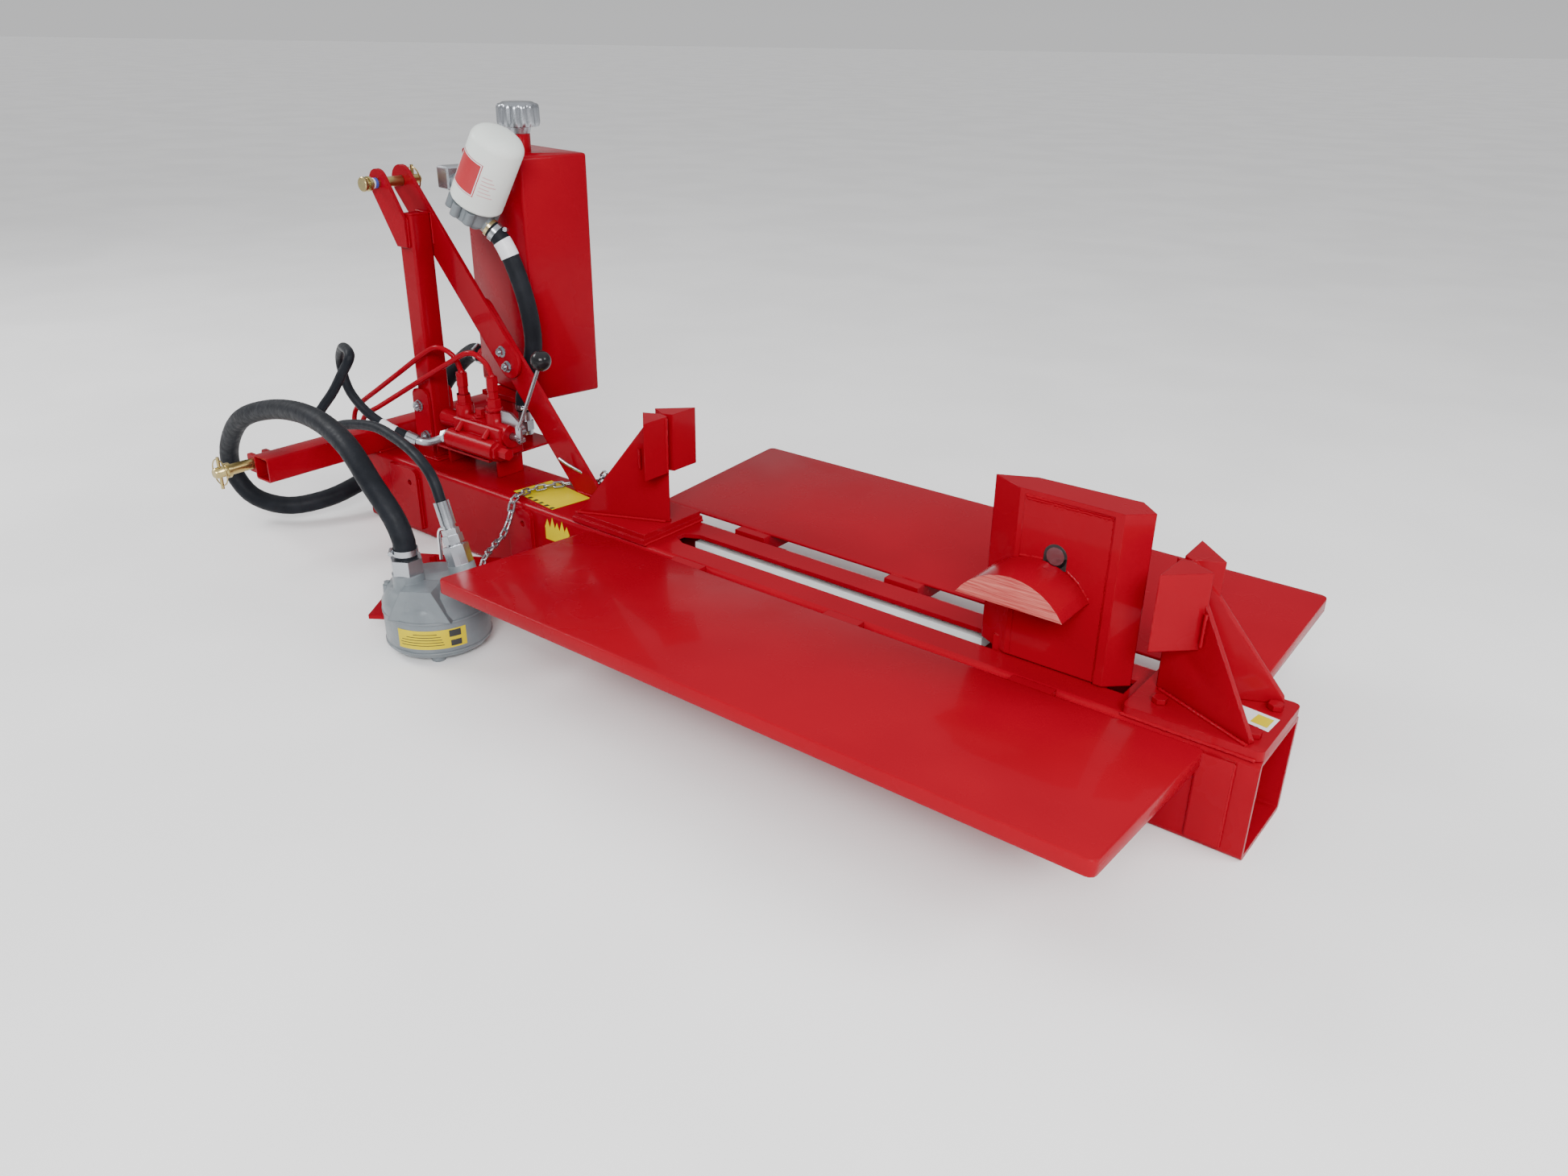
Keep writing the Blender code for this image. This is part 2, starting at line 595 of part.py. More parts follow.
def build_brace():
    start, foot = Vector(TOP_PIN), Vector(BRACE_FOOT)
    along = (foot - start).normalized()
    out = Vector((-along.y, along.x))
    angle = math.degrees(math.atan2(out.y, out.x))
    side = POST_HALF + GAP
    end = start + along * 0.545
    outline = [*arc(start, BRACE_HALF, angle, angle + 180, 12), *arc(end, BRACE_HALF, angle + 180, angle + 360, 12)]
    holes = [circle(place, 0.0065, 14) for place in BRACE_BOLTS]
    upright("brace_upper", outline, side, side + BAR, [circle(TOP_PIN, 0.0129), *holes])
    top = start + along * 0.40
    outline = arc(top, BRACE_HALF, angle, angle + 180, 12)
    for sign in (-1, 1):
        edge = top + out * BRACE_HALF * sign
        outline.append(tuple(edge + along * (BEAM_TOP + GAP - edge.y) / along.y))
    upright("brace_lower", outline, side + BAR + GAP, side + 2 * BAR + GAP, holes)
    for name, (x, z) in zip(("brace_bolt_upper", "brace_bolt_lower"), BRACE_BOLTS):
        bolt(name, (x, side - GAP, z), (0, 1, 0), 0.036, 0.006, nut=2 * BAR + 3 * GAP)


def linch_pin(name, centre, upward, ring_radius):
    """A stem through a pin, with a spring ring that passes round the pin's end."""
    centre = Vector(centre)
    stem = rod(name, centre - Vector((0, 0, ring_radius + 0.010)), centre + Vector((0, 0, upward)), 0.0042, 12)
    loop = [centre + Vector((x, 0, z)) for x, z in circle((0, 0), ring_radius, 24)]
    return join(stem, tube(name + "_ring", loop, 0.0019, 1, closed=True))


def build_hitch_pins():
    x, z = TOP_PIN
    profile = [
        (0.0, 0.085), (0.0105, 0.085), (TOP_PIN_RADIUS, 0.081), (TOP_PIN_RADIUS, -0.062),
        (0.018, -0.062), (0.018, -0.069), (0.0135, -0.070), (0.0135, -0.077), (0.018, -0.078),
        (0.018, -0.083), (0.016, -0.085), (0.0, -0.085),
    ]
    pin = turned("top_link_pin", profile, (x, 0, z), (0, 1, 0), 24)
    cut(pin, bore("top_link_pin", (x, 0.066, z - 0.03), (x, 0.066, z + 0.03), 0.0046, 12))
    linch_pin("top_linch_pin", (x, 0.066, z), 0.036, 0.030)
    section = rounded((CROSSBAR_SPAN[0], BEAM_TOP + GAP), (CROSSBAR_SPAN[1], CROSSBAR_TOP), 0.006)
    hollow = rounded((CROSSBAR_SPAN[0] + 0.005, 0.2053), (CROSSBAR_SPAN[1] - 0.005, 0.26), 0.002, 1)
    crossbar = upright("crossbar", section, -CROSSBAR_HALF, CROSSBAR_HALF, [hollow])
    for side in (-1, 1):
        for number, inner in enumerate((0.365, 0.405)):
            low, high = sorted((side * inner, side * (inner + BAR)))
            ear = rounded((-1.306, 0.211), (-1.262, 0.259), 0.008)
            hole = circle((LINK_X, LINK_Z), LINK_RADIUS + GAP)
            join(crossbar, upright(f"pin_ear_{side}_{number}", ear, low, high, [hole]))
    for side, name in ((-1, "near"), (1, "far")):
        profile = [
            (0.0, 0.52), (0.011, 0.52), (LINK_RADIUS, 0.516), (LINK_RADIUS, 0.489), (0.0195, 0.488),
            (0.0195, 0.480), (LINK_RADIUS, 0.479), (LINK_RADIUS, 0.3647), (0.0165, 0.3647),
            (0.0165, 0.352), (0.0, 0.352),
        ]
        pin = turned(f"lower_link_pin_{name}", profile, (LINK_X, 0, LINK_Z), (0, side, 0), 24)
        hole_y = side * 0.504
        cut(pin, bore(pin.name, (LINK_X, hole_y, 0.20), (LINK_X, hole_y, 0.27), 0.0046, 12))
        linch_pin(f"lower_linch_pin_{name}", (LINK_X, hole_y, LINK_Z), 0.040, 0.034)


def tank_box(name, low, high):
    """A box in the tank's own directions."""
    shape = box(name, low, high)
    turn = Matrix.Translation((*TANK_CORNER, 0)) @ Matrix.Rotation(TANK_YAW, 4, "Z")
    shape.data.transform(turn)
    return shape


def build_tank():
    tank = tank_box("oil_tank", (-TANK_LENGTH, 0, TANK_BOTTOM), (0, TANK_DEPTH, TANK_TOP))
    soften(tank, 0.007, 2)
    join(tank, rod("tank_neck", (*NECK, TANK_TOP - 0.02), (*NECK, NECK_TOP), 0.026))
    port_in = tank_point(-TANK_LENGTH + 0.02, 0.0275, 0.43)
    port_out = tank_point(-TANK_LENGTH - 0.030, 0.0275, 0.43)
    join(tank, rod("tank_port", port_in, port_out, 0.024))
    stand = box("tank_stand", (-0.95, 0.105, TRAY_TOP + GAP), (-0.87, 0.165, 0.370))
    join(stand, box("stand_shelf", (-0.985, 0.10, 0.362), (-0.82, 0.24, TANK_BOTTOM - GAP)))
    profile = [
        (0.0, 1.098), (0.036, 1.098), (0.048, 1.092), (0.053, 1.082), (0.053, 1.048),
        (0.050, 1.0405), (0.030, 1.0385), (0.026, NECK_TOP + GAP), (0.0, NECK_TOP + GAP),
    ]
    turned("breather_cap", profile, (*NECK, 0), (0, 0, 1))


def build_filter():
    lean = FILTER_LEAN
    length, radius = FILTER_LENGTH, FILTER_RADIUS
    profile = [
        (0.0, length + 0.020), (0.030, length + 0.018), (0.052, length + 0.009), (0.063, length - 0.004),
        (radius, length - 0.012), (radius, 0.006), (radius - 0.002, 0.0), (0.0, 0.0),
    ]
    turned("filter_canister", profile, FILTER_RIM, lean)
    hub = FILTER_RIM - lean * 0.030
    head = rod("filter_head", hub - lean * 0.012, FILTER_RIM - lean * GAP, 0.050, 28)
    block_middle = tank_point(-0.220, -0.055, 0.918)
    bar_way = (block_middle - hub).normalized()
    join(head, rod("filter_bar", hub - bar_way * 0.045, block_middle, 0.024, 20))
    nipple = Vector(RETURN_ROUTE[0])
    way = (nipple - hub).normalized()
    join(head, rod("filter_outlet", hub, nipple - way * 0.0006, 0.0205, 20))
    cut(head, tank_box("block_room", (-0.2483, -0.0953, 0.8897), (-0.1917, 0.01, 0.9463)))
    block = tank_box("filter_port_block", (-0.248, -0.095, 0.890), (-0.192, -GAP, 0.946))
    soften(block, 0.004, 1)


def build_valve():
    y = VALVE_Y
    body = box("valve_body", (-0.93, -0.045, 0.270), (-0.745, 0.030, 0.345))
    soften(body, 0.004, 1)
    join(body, rod("spool_housing", (-0.928, y, SPOOL_Z), (-0.738, y, SPOOL_Z), 0.030))
    join(body, rod("valve_end_cap", (-1.0, y, SPOOL_Z), (-0.92, y, SPOOL_Z), 0.025, 16))
    join(body, rod("relief_housing", (-0.932, -0.052, 0.29), (-0.750, -0.052, 0.29), 0.026))
    join(body, rod("relief_plug", (-0.76, -0.052, 0.29), (-0.705, -0.052, 0.29), 0.015, 6))
    join(body, box("valve_feet", (-0.915, -0.035, TRAY_TOP + GAP), (-0.76, 0.020, 0.280)))
    for x, top in ((-0.92, 0.43), (-0.80, 0.44)):
        join(body, rod(f"port_boss_{top}", (x, y, 0.33), (x, y, 0.375), 0.024, 16))
        join(body, rod(f"port_nut_{top}", (x, y, 0.37), (x, y, 0.400), 0.019, 6))
        join(body, rod(f"port_sleeve_{top}", (x, y, 0.39), (x, y, top), 0.014, 6))
    cut(body, bore("spool", (-0.84, y, SPOOL_Z), (-0.70, y, SPOOL_Z), 0.0095))
    spool = rod("valve_spool", (-0.825, y, SPOOL_Z), (-0.715, y, SPOOL_Z), 0.009)
    tongue = [(-0.722, 0.314), *arc((-0.70, SPOOL_Z), 0.008, -90, 90, 6), (-0.722, 0.330)]
    join(spool, upright("spool_tongue", tongue, -0.0137, -0.006))
    join(spool, rod("spool_pin", (-0.70, -0.008, SPOOL_Z), (-0.70, -0.0235, SPOOL_Z), 0.0035, 12))
    px, pz = PIVOT
    link = [(-0.772, 0.3525), (-0.736, 0.3525), (px, pz - 0.009),
            *arc(PIVOT, 0.009, -90, 60, 6), (-0.735, 0.384), (-0.772, 0.384)]
    bracket = upright("lever_bracket", link, -0.0137, -0.006)
    join(bracket, rod("pivot_pin", (px, -0.008, pz), (px, -0.0235, pz), 0.0035, 12))
    cut(bracket, rod("bracket_seat", (-0.80, y, 0.30), (-0.80, y, 0.41), 0.0243, 16))
    start, knob = Vector(PIVOT), Vector(KNOB)
    way = (knob - start).normalized()
    bar = [*arc((px, SPOOL_Z), 0.0095, 180, 360, 8), (px + 0.0095, pz), *arc(PIVOT, 0.0095, 20, 180, 6)]
    slot = [*arc((px, SPOOL_Z + 0.002), 0.004, 0, 180, 6), *arc((px, SPOOL_Z - 0.003), 0.004, 180, 360, 6)]
    lever = upright("control_lever", bar, LEVER_Y - 0.003, LEVER_Y + 0.003, [slot])
    low = start + way * 0.004
    high = knob - way * 0.012
    handle = rod("lever_rod", (low.x, LEVER_Y, low.y), (high.x, LEVER_Y, high.y), 0.0045, 14)
    join(lever, handle)
    cut(lever, bore("lever_pivot", (px, -0.03, pz), (px, -0.005, pz), 0.0039, 14))
    ball("lever_knob", (knob.x, LEVER_Y, knob.y), 0.025)
    socket_start, socket_end = knob - way * 0.05, knob - way * 0.0115
    cut(
        bpy.data.objects["lever_knob"],
        bore("knob", (socket_start.x, LEVER_Y, socket_start.y), (socket_end.x, LEVER_Y, socket_end.y), 0.005),
    )
    tray = box("valve_tray", (-1.0, -0.05, 0.250), (-0.79, 0.18, TRAY_TOP))
    join(tray, box("tray_leg_right", (-0.80, -0.02, BEAM_TOP + GAP), (-0.791, 0.06, 0.252)))
    join(tray, box("tray_leg_left", (-0.999, -0.02, BEAM_TOP + GAP), (-0.990, 0.06, 0.252)))


def build_fittings():
    elbow = spline_points(ELBOW_ROUTE, 0.012)
    made = tube("pressure_elbow", elbow, 0.0105, 3)
    join(made, rod("elbow_nut", elbow[0] + Vector((-0.0003, 0, 0)), elbow[0] + Vector((-0.016, 0, 0)), 0.017, 6))
    way = (elbow[-1] - elbow[-2]).normalized()
    join(made, rod("elbow_ferrule", elbow[-1] - way * 0.030, elbow[-1] - way * 0.0002, 0.0145, 16))
    x, y = RETURN_ROUTE[-1][:2]
    stem = rod("return_fitting", (x, y, 0.298), (x, y, 0.360), 0.018, 16)
    join(stem, rod("return_nut", (x, y, 0.310), (x, y, 0.335), 0.0215, 6))
    join(stem, rod("return_arm", (x, y, 0.308), (x, 0.0303, 0.308), 0.014, 16))
    ring = rod("return_collar", (x, 0.0305, 0.308), (x, 0.045, 0.308), 0.018, 6)
    join(stem, ring)


def build_pump():
    x, y = PUMP
    profile = [
        (0.0, 0.160), (0.080, 0.160), (0.098, 0.150), (0.110, 0.125), (PUMP_RADIUS, 0.118),
        (PUMP_RADIUS, 0.022), (0.108, PUMP_FOOT), (0.0, PUMP_FOOT),
    ]
    body = turned("pump_body", profile, (x, y, 0), (0, 0, 1), 36)
    join(body, rod("suction_boss", (-0.507, -0.512, 0.10), (-0.507, -0.512, PUMP_TOP), 0.034, 20))
    tilt = (Vector(PRESSURE_ROUTE[-1]) - Vector((-0.469, -0.40, 0.181))).normalized()
    outlet = Vector((-0.469, -0.40, 0.181))
    join(body, rod("outlet_boss", outlet - tilt * 0.06, outlet, 0.030, 20))
    boss = [(-0.070, 0.10), (0.070, 0.10), (0.034, 0.172), (-0.034, 0.172)]
    facing = Vector((0.55, -0.84, 0)).normalized()
    sideways = Vector((0.84, 0.55, 0)).normalized()
    middle = Vector((x, y, 0)) + facing * 0.075
    join(body, plate("pump_rib", boss, 0.064, middle, sideways, (0, 0, 1)))
    for number, angle in enumerate((200, 320, 80)):
        a = math.radians(angle)
        foot = Vector((x + 0.088 * math.cos(a), y + 0.088 * math.sin(a), 0))
        join(body, rod(f"pump_foot_{number}", foot, foot + Vector((0, 0, 0.03)), 0.016, 12))
    cut(body, bore("pump_hub", (x, y, -0.01), (x, y, 0.060), HUB_RADIUS + GAP, 28))
    hub = [
        (0.0, 0.058), (HUB_RADIUS, 0.058), (HUB_RADIUS, 0.004), (HUB_RADIUS - 0.004, 0.0),
        (SHAFT_RADIUS, 0.0), (SHAFT_RADIUS, 0.050), (0.0, 0.050),
    ]
    turned("pump_hub", hub, (x, y, 0), (0, 0, 1), 28)
    adapter = rod("pump_adapter", outlet + tilt * GAP, outlet + tilt * 0.045, 0.024, 6)
    join(adapter, rod("adapter_nut", outlet + tilt * 0.040, outlet + tilt * 0.072, 0.019, 6))
    reach = (Vector(PRESSURE_ROUTE[-1]) - outlet).length - 0.0006
    join(adapter, rod("adapter_ferrule", outlet + tilt * 0.07, outlet + tilt * reach, 0.0145, 16))
    rod("suction_fitting", (-0.507, -0.512, PUMP_TOP + GAP), (-0.507, -0.512, 0.225), 0.036, 6)
    corner = Vector((-0.61, -0.56))
    back, wide = Vector((-0.572, 0.820)), Vector((0.820, 0.572))
    outline = [corner, corner + back * 0.345, corner + back * 0.33 + wide * 0.25, corner + wide * 0.25]
    torque = level("torque_plate", [tuple(point) for point in outline], 0.060, 0.070)
    cut(torque, bore("torque_plate", (x, y, 0.02), (x, y, 0.11), PUMP_RADIUS + GAP * 2, 36))
    for number, (back_by, wide_by) in enumerate(((0.075, 0.022), (0.30, 0.05))):
        place = corner + back * back_by + wide * wide_by
        join(torque, rod(f"torque_bolt_{number}", (*place, 0.030), (*place, 0.084), 0.008, 12))


def build_hoses():
    tube("suction_hose", spline_points(SUCTION_ROUTE, 0.045), SUCTION_RADIUS, 3)
    tube("return_hose", spline_points(RETURN_ROUTE, 0.040), RETURN_RADIUS, 3)
    tube("pressure_hose", spline_points(PRESSURE_ROUTE, 0.040), PRESSURE_RADIUS, 2)
    tube("steel_tube_rear", spline_points(REAR_TUBE_ROUTE, 0.030), STEEL_TUBE_RADIUS, 2)
    tube("steel_tube_front", spline_points(FRONT_TUBE_ROUTE, 0.040), STEEL_TUBE_RADIUS, 2)
    tube("tether_chain", spline_points(CHAIN_ROUTE, 0.030), CHAIN_RADIUS, 2)


def finish_name(name):
    """The finish of each piece."""
    if "hose" in name or name == "lever_knob":
        return "black"
    if name.startswith("wedge_bolt"):
        return "red"
    if name in ("cross_pin", "tether_chain"):
        return "zinc"
    if "bolt" in name or name in ("breather_cap", "pump_adapter", "suction_fitting", "filter_port_block"):
        return "zinc"
    if name in ("pressure_elbow", "return_fitting", "valve_spool", "control_lever", "lever_bracket"):
        return "zinc"
    if "link_pin" in name or "linch_pin" in name:
        return "yellow_zinc"
    if name in ("pump_body", "filter_head"):
        return "cast"
    if name == "cylinder_rod":
        return "chrome"
    if name == "filter_canister":
        return "white"
    if name in ("pump_hub", "cylinder_anchor_pin"):
        return "steel"
    return "red"


def apply_finishes():
    for piece in PARTS.objects:
        if piece.type != "MESH":
            continue
        colour, roughness, metallic = FINISHES[finish_name(piece.name)]
        material = bpy.data.materials.new(piece.name + "_finish")
        material.use_nodes = True
        shader = material.node_tree.nodes["Principled BSDF"]
        shader.inputs["Base Color"].default_value = (*colour, 1.0)
        shader.inputs["Roughness"].default_value = roughness
        shader.inputs["Metallic"].default_value = metallic
        piece.data.materials.clear()
        piece.data.materials.append(material)
        if piece.data.polygons:
            piece.data.shade_smooth()
            piece.data.set_sharp_from_angle(angle=math.radians(35))


def pivot(name, place):
    """Moves a piece's origin onto its joint without moving the piece."""
    piece = bpy.data.objects[name]
    piece.data.transform(Matrix.Translation(-Vector(place)))
    piece.location = place


def group(name, place, members):
    """Hangs the pieces that move together on an empty at their joint."""
    frame = bpy.data.objects.new(name, None)
    frame.location = place
    PARTS.objects.link(frame)
    for member in members:
        piece = bpy.data.objects[member]
        piece.parent = frame
        piece.matrix_parent_inverse = Matrix.Translation(-Vector(place))


build_beam()
build_left_wedge()
build_right_wedge()
build_carriage()
build_cylinder()
build_table("work_table_near", -1)
build_table("work_table_far", 1)
build_mast()
build_brace()
build_hitch_pins()
build_tank()
build_filter()
build_valve()
build_fittings()
build_pump()
build_hoses()
apply_finishes()
pivot("control_lever", (PIVOT[0], VALVE_Y, PIVOT[1]))
pivot("lever_knob", (PIVOT[0], VALVE_Y, PIVOT[1]))
group(
    "carriage",
    (BLADE_TIPS[0], 0, BEAM_TOP),
    ("splitting_blade", "side_wing_near", "side_wing_far", "cross_pin", "slide_shoe", "cylinder_rod"),
)
group("lever", (PIVOT[0], VALVE_Y, PIVOT[1]), ("control_lever", "lever_knob"))
group("top_pin", (TOP_PIN[0], 0, TOP_PIN[1]), ("top_link_pin", "top_linch_pin"))
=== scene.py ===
"""Looks of the tractor-mounted log splitter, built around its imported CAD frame."""

import json
import math
import random

import bmesh
import bpy
from mathutils import Matrix, Vector


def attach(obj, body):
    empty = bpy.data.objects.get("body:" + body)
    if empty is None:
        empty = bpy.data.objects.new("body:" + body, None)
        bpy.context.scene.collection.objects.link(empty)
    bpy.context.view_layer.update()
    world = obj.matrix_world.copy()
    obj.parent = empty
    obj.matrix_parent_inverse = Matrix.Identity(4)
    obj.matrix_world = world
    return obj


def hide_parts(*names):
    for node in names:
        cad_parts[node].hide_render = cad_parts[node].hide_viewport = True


random.seed(7)
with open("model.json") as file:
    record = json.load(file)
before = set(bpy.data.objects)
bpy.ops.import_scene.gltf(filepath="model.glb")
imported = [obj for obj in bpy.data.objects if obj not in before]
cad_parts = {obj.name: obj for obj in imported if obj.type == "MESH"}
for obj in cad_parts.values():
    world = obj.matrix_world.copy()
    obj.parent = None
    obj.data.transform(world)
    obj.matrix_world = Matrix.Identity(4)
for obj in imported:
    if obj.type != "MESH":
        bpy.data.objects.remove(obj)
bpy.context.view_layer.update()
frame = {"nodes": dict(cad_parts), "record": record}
NODES = frame["nodes"]

# ---------------------------------------------------------------- camera

CAMERA_PLACE = Vector((1.58894, -1.87938, 1.28691))
CAMERA_RIGHT = Vector((0.78652, 0.61742, 0.01306))
CAMERA_DOWN = Vector((0.27427, -0.33029, -0.90315))
CAMERA_FORWARD = Vector((-0.55332, 0.71393, -0.42912))
LENS_LENGTH, SENSOR_WIDTH = 27.495, 36.0


def make_camera():
    lens = bpy.data.cameras.new("photo_camera")
    lens.lens = LENS_LENGTH
    lens.sensor_width = SENSOR_WIDTH
    lens.clip_start, lens.clip_end = 0.05, 60.0
    lens.dof.use_dof = False
    camera = bpy.data.objects.new("photo_camera", lens)
    turn = Matrix((CAMERA_RIGHT, -CAMERA_DOWN, -CAMERA_FORWARD)).transposed()
    camera.matrix_world = Matrix.Translation(CAMERA_PLACE) @ turn.to_4x4()
    bpy.context.scene.collection.objects.link(camera)
    bpy.context.scene.camera = camera


make_camera()

# ---------------------------------------------------------------- materials


class Shader:
    """A node material with short ways to add the nodes it is built from."""

    def __init__(self, name):
        self.material = bpy.data.materials.new(name)
        self.material.use_nodes = True
        self.tree = self.material.node_tree
        self.main = self.tree.nodes["Principled BSDF"]
        place = self.node("ShaderNodeTexCoord")
        self.place = place.outputs["Object"]

    def node(self, kind, **settings):
        made = self.tree.nodes.new(kind)
        for key, value in settings.items():
            setattr(made, key, value)
        return made

    def link(self, source, target):
        self.tree.links.new(source, target)

    def put(self, target, value):
        if isinstance(value, bpy.types.NodeSocket):
            self.link(value, target)
        elif isinstance(value, tuple) and len(value) == 3 and target.type == "RGBA":
            target.default_value = (*value, 1.0)
        else:
            target.default_value = value

    def set(self, **values):
        for key, value in values.items():
            self.put(self.main.inputs[key.replace("_", " ")], value)

    def noise(self, scale, detail=3.0, rough=0.5, stretch=None, distortion=0.0):
        made = self.node("ShaderNodeTexNoise")
        made.inputs["Scale"].default_value = scale
        made.inputs["Detail"].default_value = detail
        made.inputs["Roughness"].default_value = rough
        made.inputs["Distortion"].default_value = distortion
        source = self.place
        if stretch:
            mapping = self.node("ShaderNodeMapping")
            mapping.inputs["Scale"].default_value = stretch
            self.link(self.place, mapping.inputs["Vector"])
            source = mapping.outputs["Vector"]
        self.link(source, made.inputs["Vector"])
        return made.outputs["Fac"]

    def ramp(self, value, low, high, start=0.0, end=1.0):
        made = self.node("ShaderNodeMapRange")
        self.link(value, made.inputs["Value"])
        made.inputs["From Min"].default_value = low
        made.inputs["From Max"].default_value = high
        made.inputs["To Min"].default_value = start
        made.inputs["To Max"].default_value = end
        return made.outputs["Result"]

    def maths(self, operation, first, second):
        made = self.node("ShaderNodeMath", operation=operation)
        self.put(made.inputs[0], first)
        self.put(made.inputs[1], second)
        return made.outputs[0]

    def mix(self, factor, first, second):
        made = self.node("ShaderNodeMix", data_type="RGBA")
        self.put(made.inputs["Factor"], factor)
        self.put(made.inputs[6], first)
        self.put(made.inputs[7], second)
        return made.outputs[2]

    def rounding(self, radius):
        """Normals that round every sharp edge by a small radius."""
        made = self.node("ShaderNodeBevel", samples=4)
        made.inputs["Radius"].default_value = radius
        return made.outputs["Normal"]

    def edges(self, rounded):
        """How far the rounded normal leans from the true one: high on edges."""
        true = self.node("ShaderNodeNewGeometry")
        dot = self.node("ShaderNodeVectorMath", operation="DOT_PRODUCT")
        self.link(rounded, dot.inputs[0])
        self.link(true.outputs["Normal"], dot.inputs[1])
        return self.ramp(dot.outputs["Value"], 0.99, 0.80)

    def bump(self, height, strength, distance, below=None):
        made = self.node("ShaderNodeBump")
        made.inputs["Strength"].default_value = strength
        made.inputs["Distance"].default_value = distance
        self.link(height, made.inputs["Height"])
        if below is not None:
            self.link(below, made.inputs["Normal"])
        return made.outputs["Normal"]


def gloss_paint(name, colour, deep, edge_wear_and_highlight, rounding=0.0030, rough=0.24, peel=0.15):
    s = Shader(name)
    cloud = s.noise(2.3, 3.0)
    fine = s.noise(26.0, 4.0)
    body = s.mix(s.ramp(cloud, 0.35, 0.65), deep, colour)
    soft = s.rounding(rounding)
    edge = s.edges(soft)
    # edge colour where the rounded normal leans from the true one: edge wear, and on the reds a lighter
    # painted edge highlight
    patch = s.maths("MULTIPLY", edge, s.ramp(fine, 0.52, 0.66, 0.0, 0.45))
    s.set(Base_Color=s.mix(patch, body, edge_wear_and_highlight))
    s.set(Roughness=s.ramp(s.noise(7.0, 4.0), 0.3, 0.7, rough - 0.05, rough + 0.10))
    s.set(Coat_Weight=0.08, Coat_Roughness=0.05, Specular_IOR_Level=0.04)
    warp = s.bump(s.noise(3.2, 1.0), 0.30 * peel, 0.012, soft)
    wave = s.bump(s.noise(38.0, 1.0), 0.10 * peel, 0.002, warp)
    s.set(Normal=wave, Coat_Normal=wave)
    return s.material


def plated(name, colour, second, rough=0.30, grain=(1.0, 1.0, 1.0)):
    s = Shader(name)
    tone = s.noise(14.0, 1.0)
    s.set(Base_Color=s.mix(s.ramp(tone, 0.25, 0.75), colour, second))
    s.set(Metallic=0.95, Roughness=s.ramp(s.noise(20.0, 1.0), 0.3, 0.7, rough - 0.03, rough + 0.05))
    s.set(Normal=s.bump(s.noise(90.0, 1.0, 0.5, grain), 0.02, 0.0004))
    return s.material


def casting(name, colour, second, rough=0.5):
    s = Shader(name)
    s.set(Base_Color=s.mix(s.ramp(s.noise(9.0, 5.0), 0.35, 0.65), colour, second))
    s.set(Roughness=s.ramp(s.noise(30.0, 3.0), 0.3, 0.7, rough - 0.12, rough + 0.10))
    s.set(Metallic=0.15, Coat_Weight=0.25, Coat_Roughness=0.25)
    soft = s.rounding(0.004)
    lumps = s.bump(s.noise(90.0, 4.0), 0.25, 0.002, soft)
    s.set(Normal=s.bump(s.noise(600.0, 2.0), 0.20, 0.0006, lumps))
    return s.material


def hose_rubber(name, colour, second, rough=0.55):
    s = Shader(name)
    s.set(Base_Color=s.mix(s.ramp(s.noise(24.0, 4.0), 0.35, 0.65), colour, second))
    s.set(Roughness=s.ramp(s.noise(70.0, 3.0), 0.3, 0.7, rough - 0.08, rough + 0.12))
    s.set(Specular_IOR_Level=0.12)
    weave = s.bump(s.noise(260.0, 3.0, 0.7), 0.35, 0.0010)
    s.set(Normal=s.bump(s.noise(60.0, 2.0), 0.25, 0.0020, weave))
    return s.material


def plain(name, colour, second, rough, bump=0.08, shine=0.5):
    s = Shader(name)
    s.set(Base_Color=s.mix(s.ramp(s.noise(14.0, 4.0), 0.35, 0.65), colour, second))
    s.set(Roughness=s.ramp(s.noise(50.0, 3.0), 0.3, 0.7, rough - 0.05, rough + 0.08))
    s.set(Specular_IOR_Level=shine)
    s.set(Normal=s.bump(s.noise(240.0, 2.0), bump, 0.0006, s.rounding(0.0012)))
    return s.material


# the last colour of each paint goes on its edges: a lighter painted edge highlight on the reds, darker edge
# wear on the white
RED = gloss_paint("red_gloss", (0.275, 0.0011, 0.0095), (0.230, 0.0008, 0.0078), (0.42, 0.045, 0.050))
RED_WELD = gloss_paint(
    "red_weld", (0.285, 0.0012, 0.0100), (0.240, 0.0009, 0.0080), (0.48, 0.10, 0.09), 0.0008, 0.14
)
ZINC = plated("zinc_plate", (0.44, 0.46, 0.49), (0.31, 0.33, 0.36), 0.24)
YELLOW_ZINC = plated("yellow_zinc_plate", (0.50, 0.37, 0.13), (0.42, 0.36, 0.18), 0.26)
CHROME = plated("hard_chrome", (0.78, 0.79, 0.81), (0.72, 0.73, 0.76), 0.14, (0.1, 1.0, 1.0))
STEEL = plated("machined_steel", (0.42, 0.42, 0.43), (0.30, 0.30, 0.31), 0.35)
BRASS = plated("brass_plate", (0.60, 0.50, 0.28), (0.54, 0.42, 0.20), 0.26)
CAST = casting("grey_casting", (0.175, 0.200, 0.215), (0.130, 0.150, 0.165), 0.42)
HOSE = hose_rubber("hose_rubber", (0.0060, 0.0072, 0.0100), (0.0105, 0.0120, 0.0160), 0.50)
HOSE_SMALL = hose_rubber("pressure_rubber", (0.0068, 0.0082, 0.0115), (0.0115, 0.0135, 0.0180), 0.45)
WHITE = gloss_paint(
    "white_gloss", (0.66, 0.70, 0.67), (0.62, 0.66, 0.63), (0.60, 0.60, 0.58), 0.002, 0.26, 0.2
)
BLACK = plain("black_plastic", (0.008, 0.008, 0.009), (0.013, 0.013, 0.015), 0.16, bump=0.01, shine=0.22)
BAND = plain("printed_band", (0.70, 0.71, 0.74), (0.64, 0.65, 0.68), 0.35)
SLOT_PALE = plain("pale_slot_band", (0.86, 0.87, 0.86), (0.78, 0.80, 0.80), 0.40)
YELLOW = plain("yellow_label", (0.60, 0.48, 0.0), (0.55, 0.43, 0.0), 0.35, bump=0.03, shine=0.2)
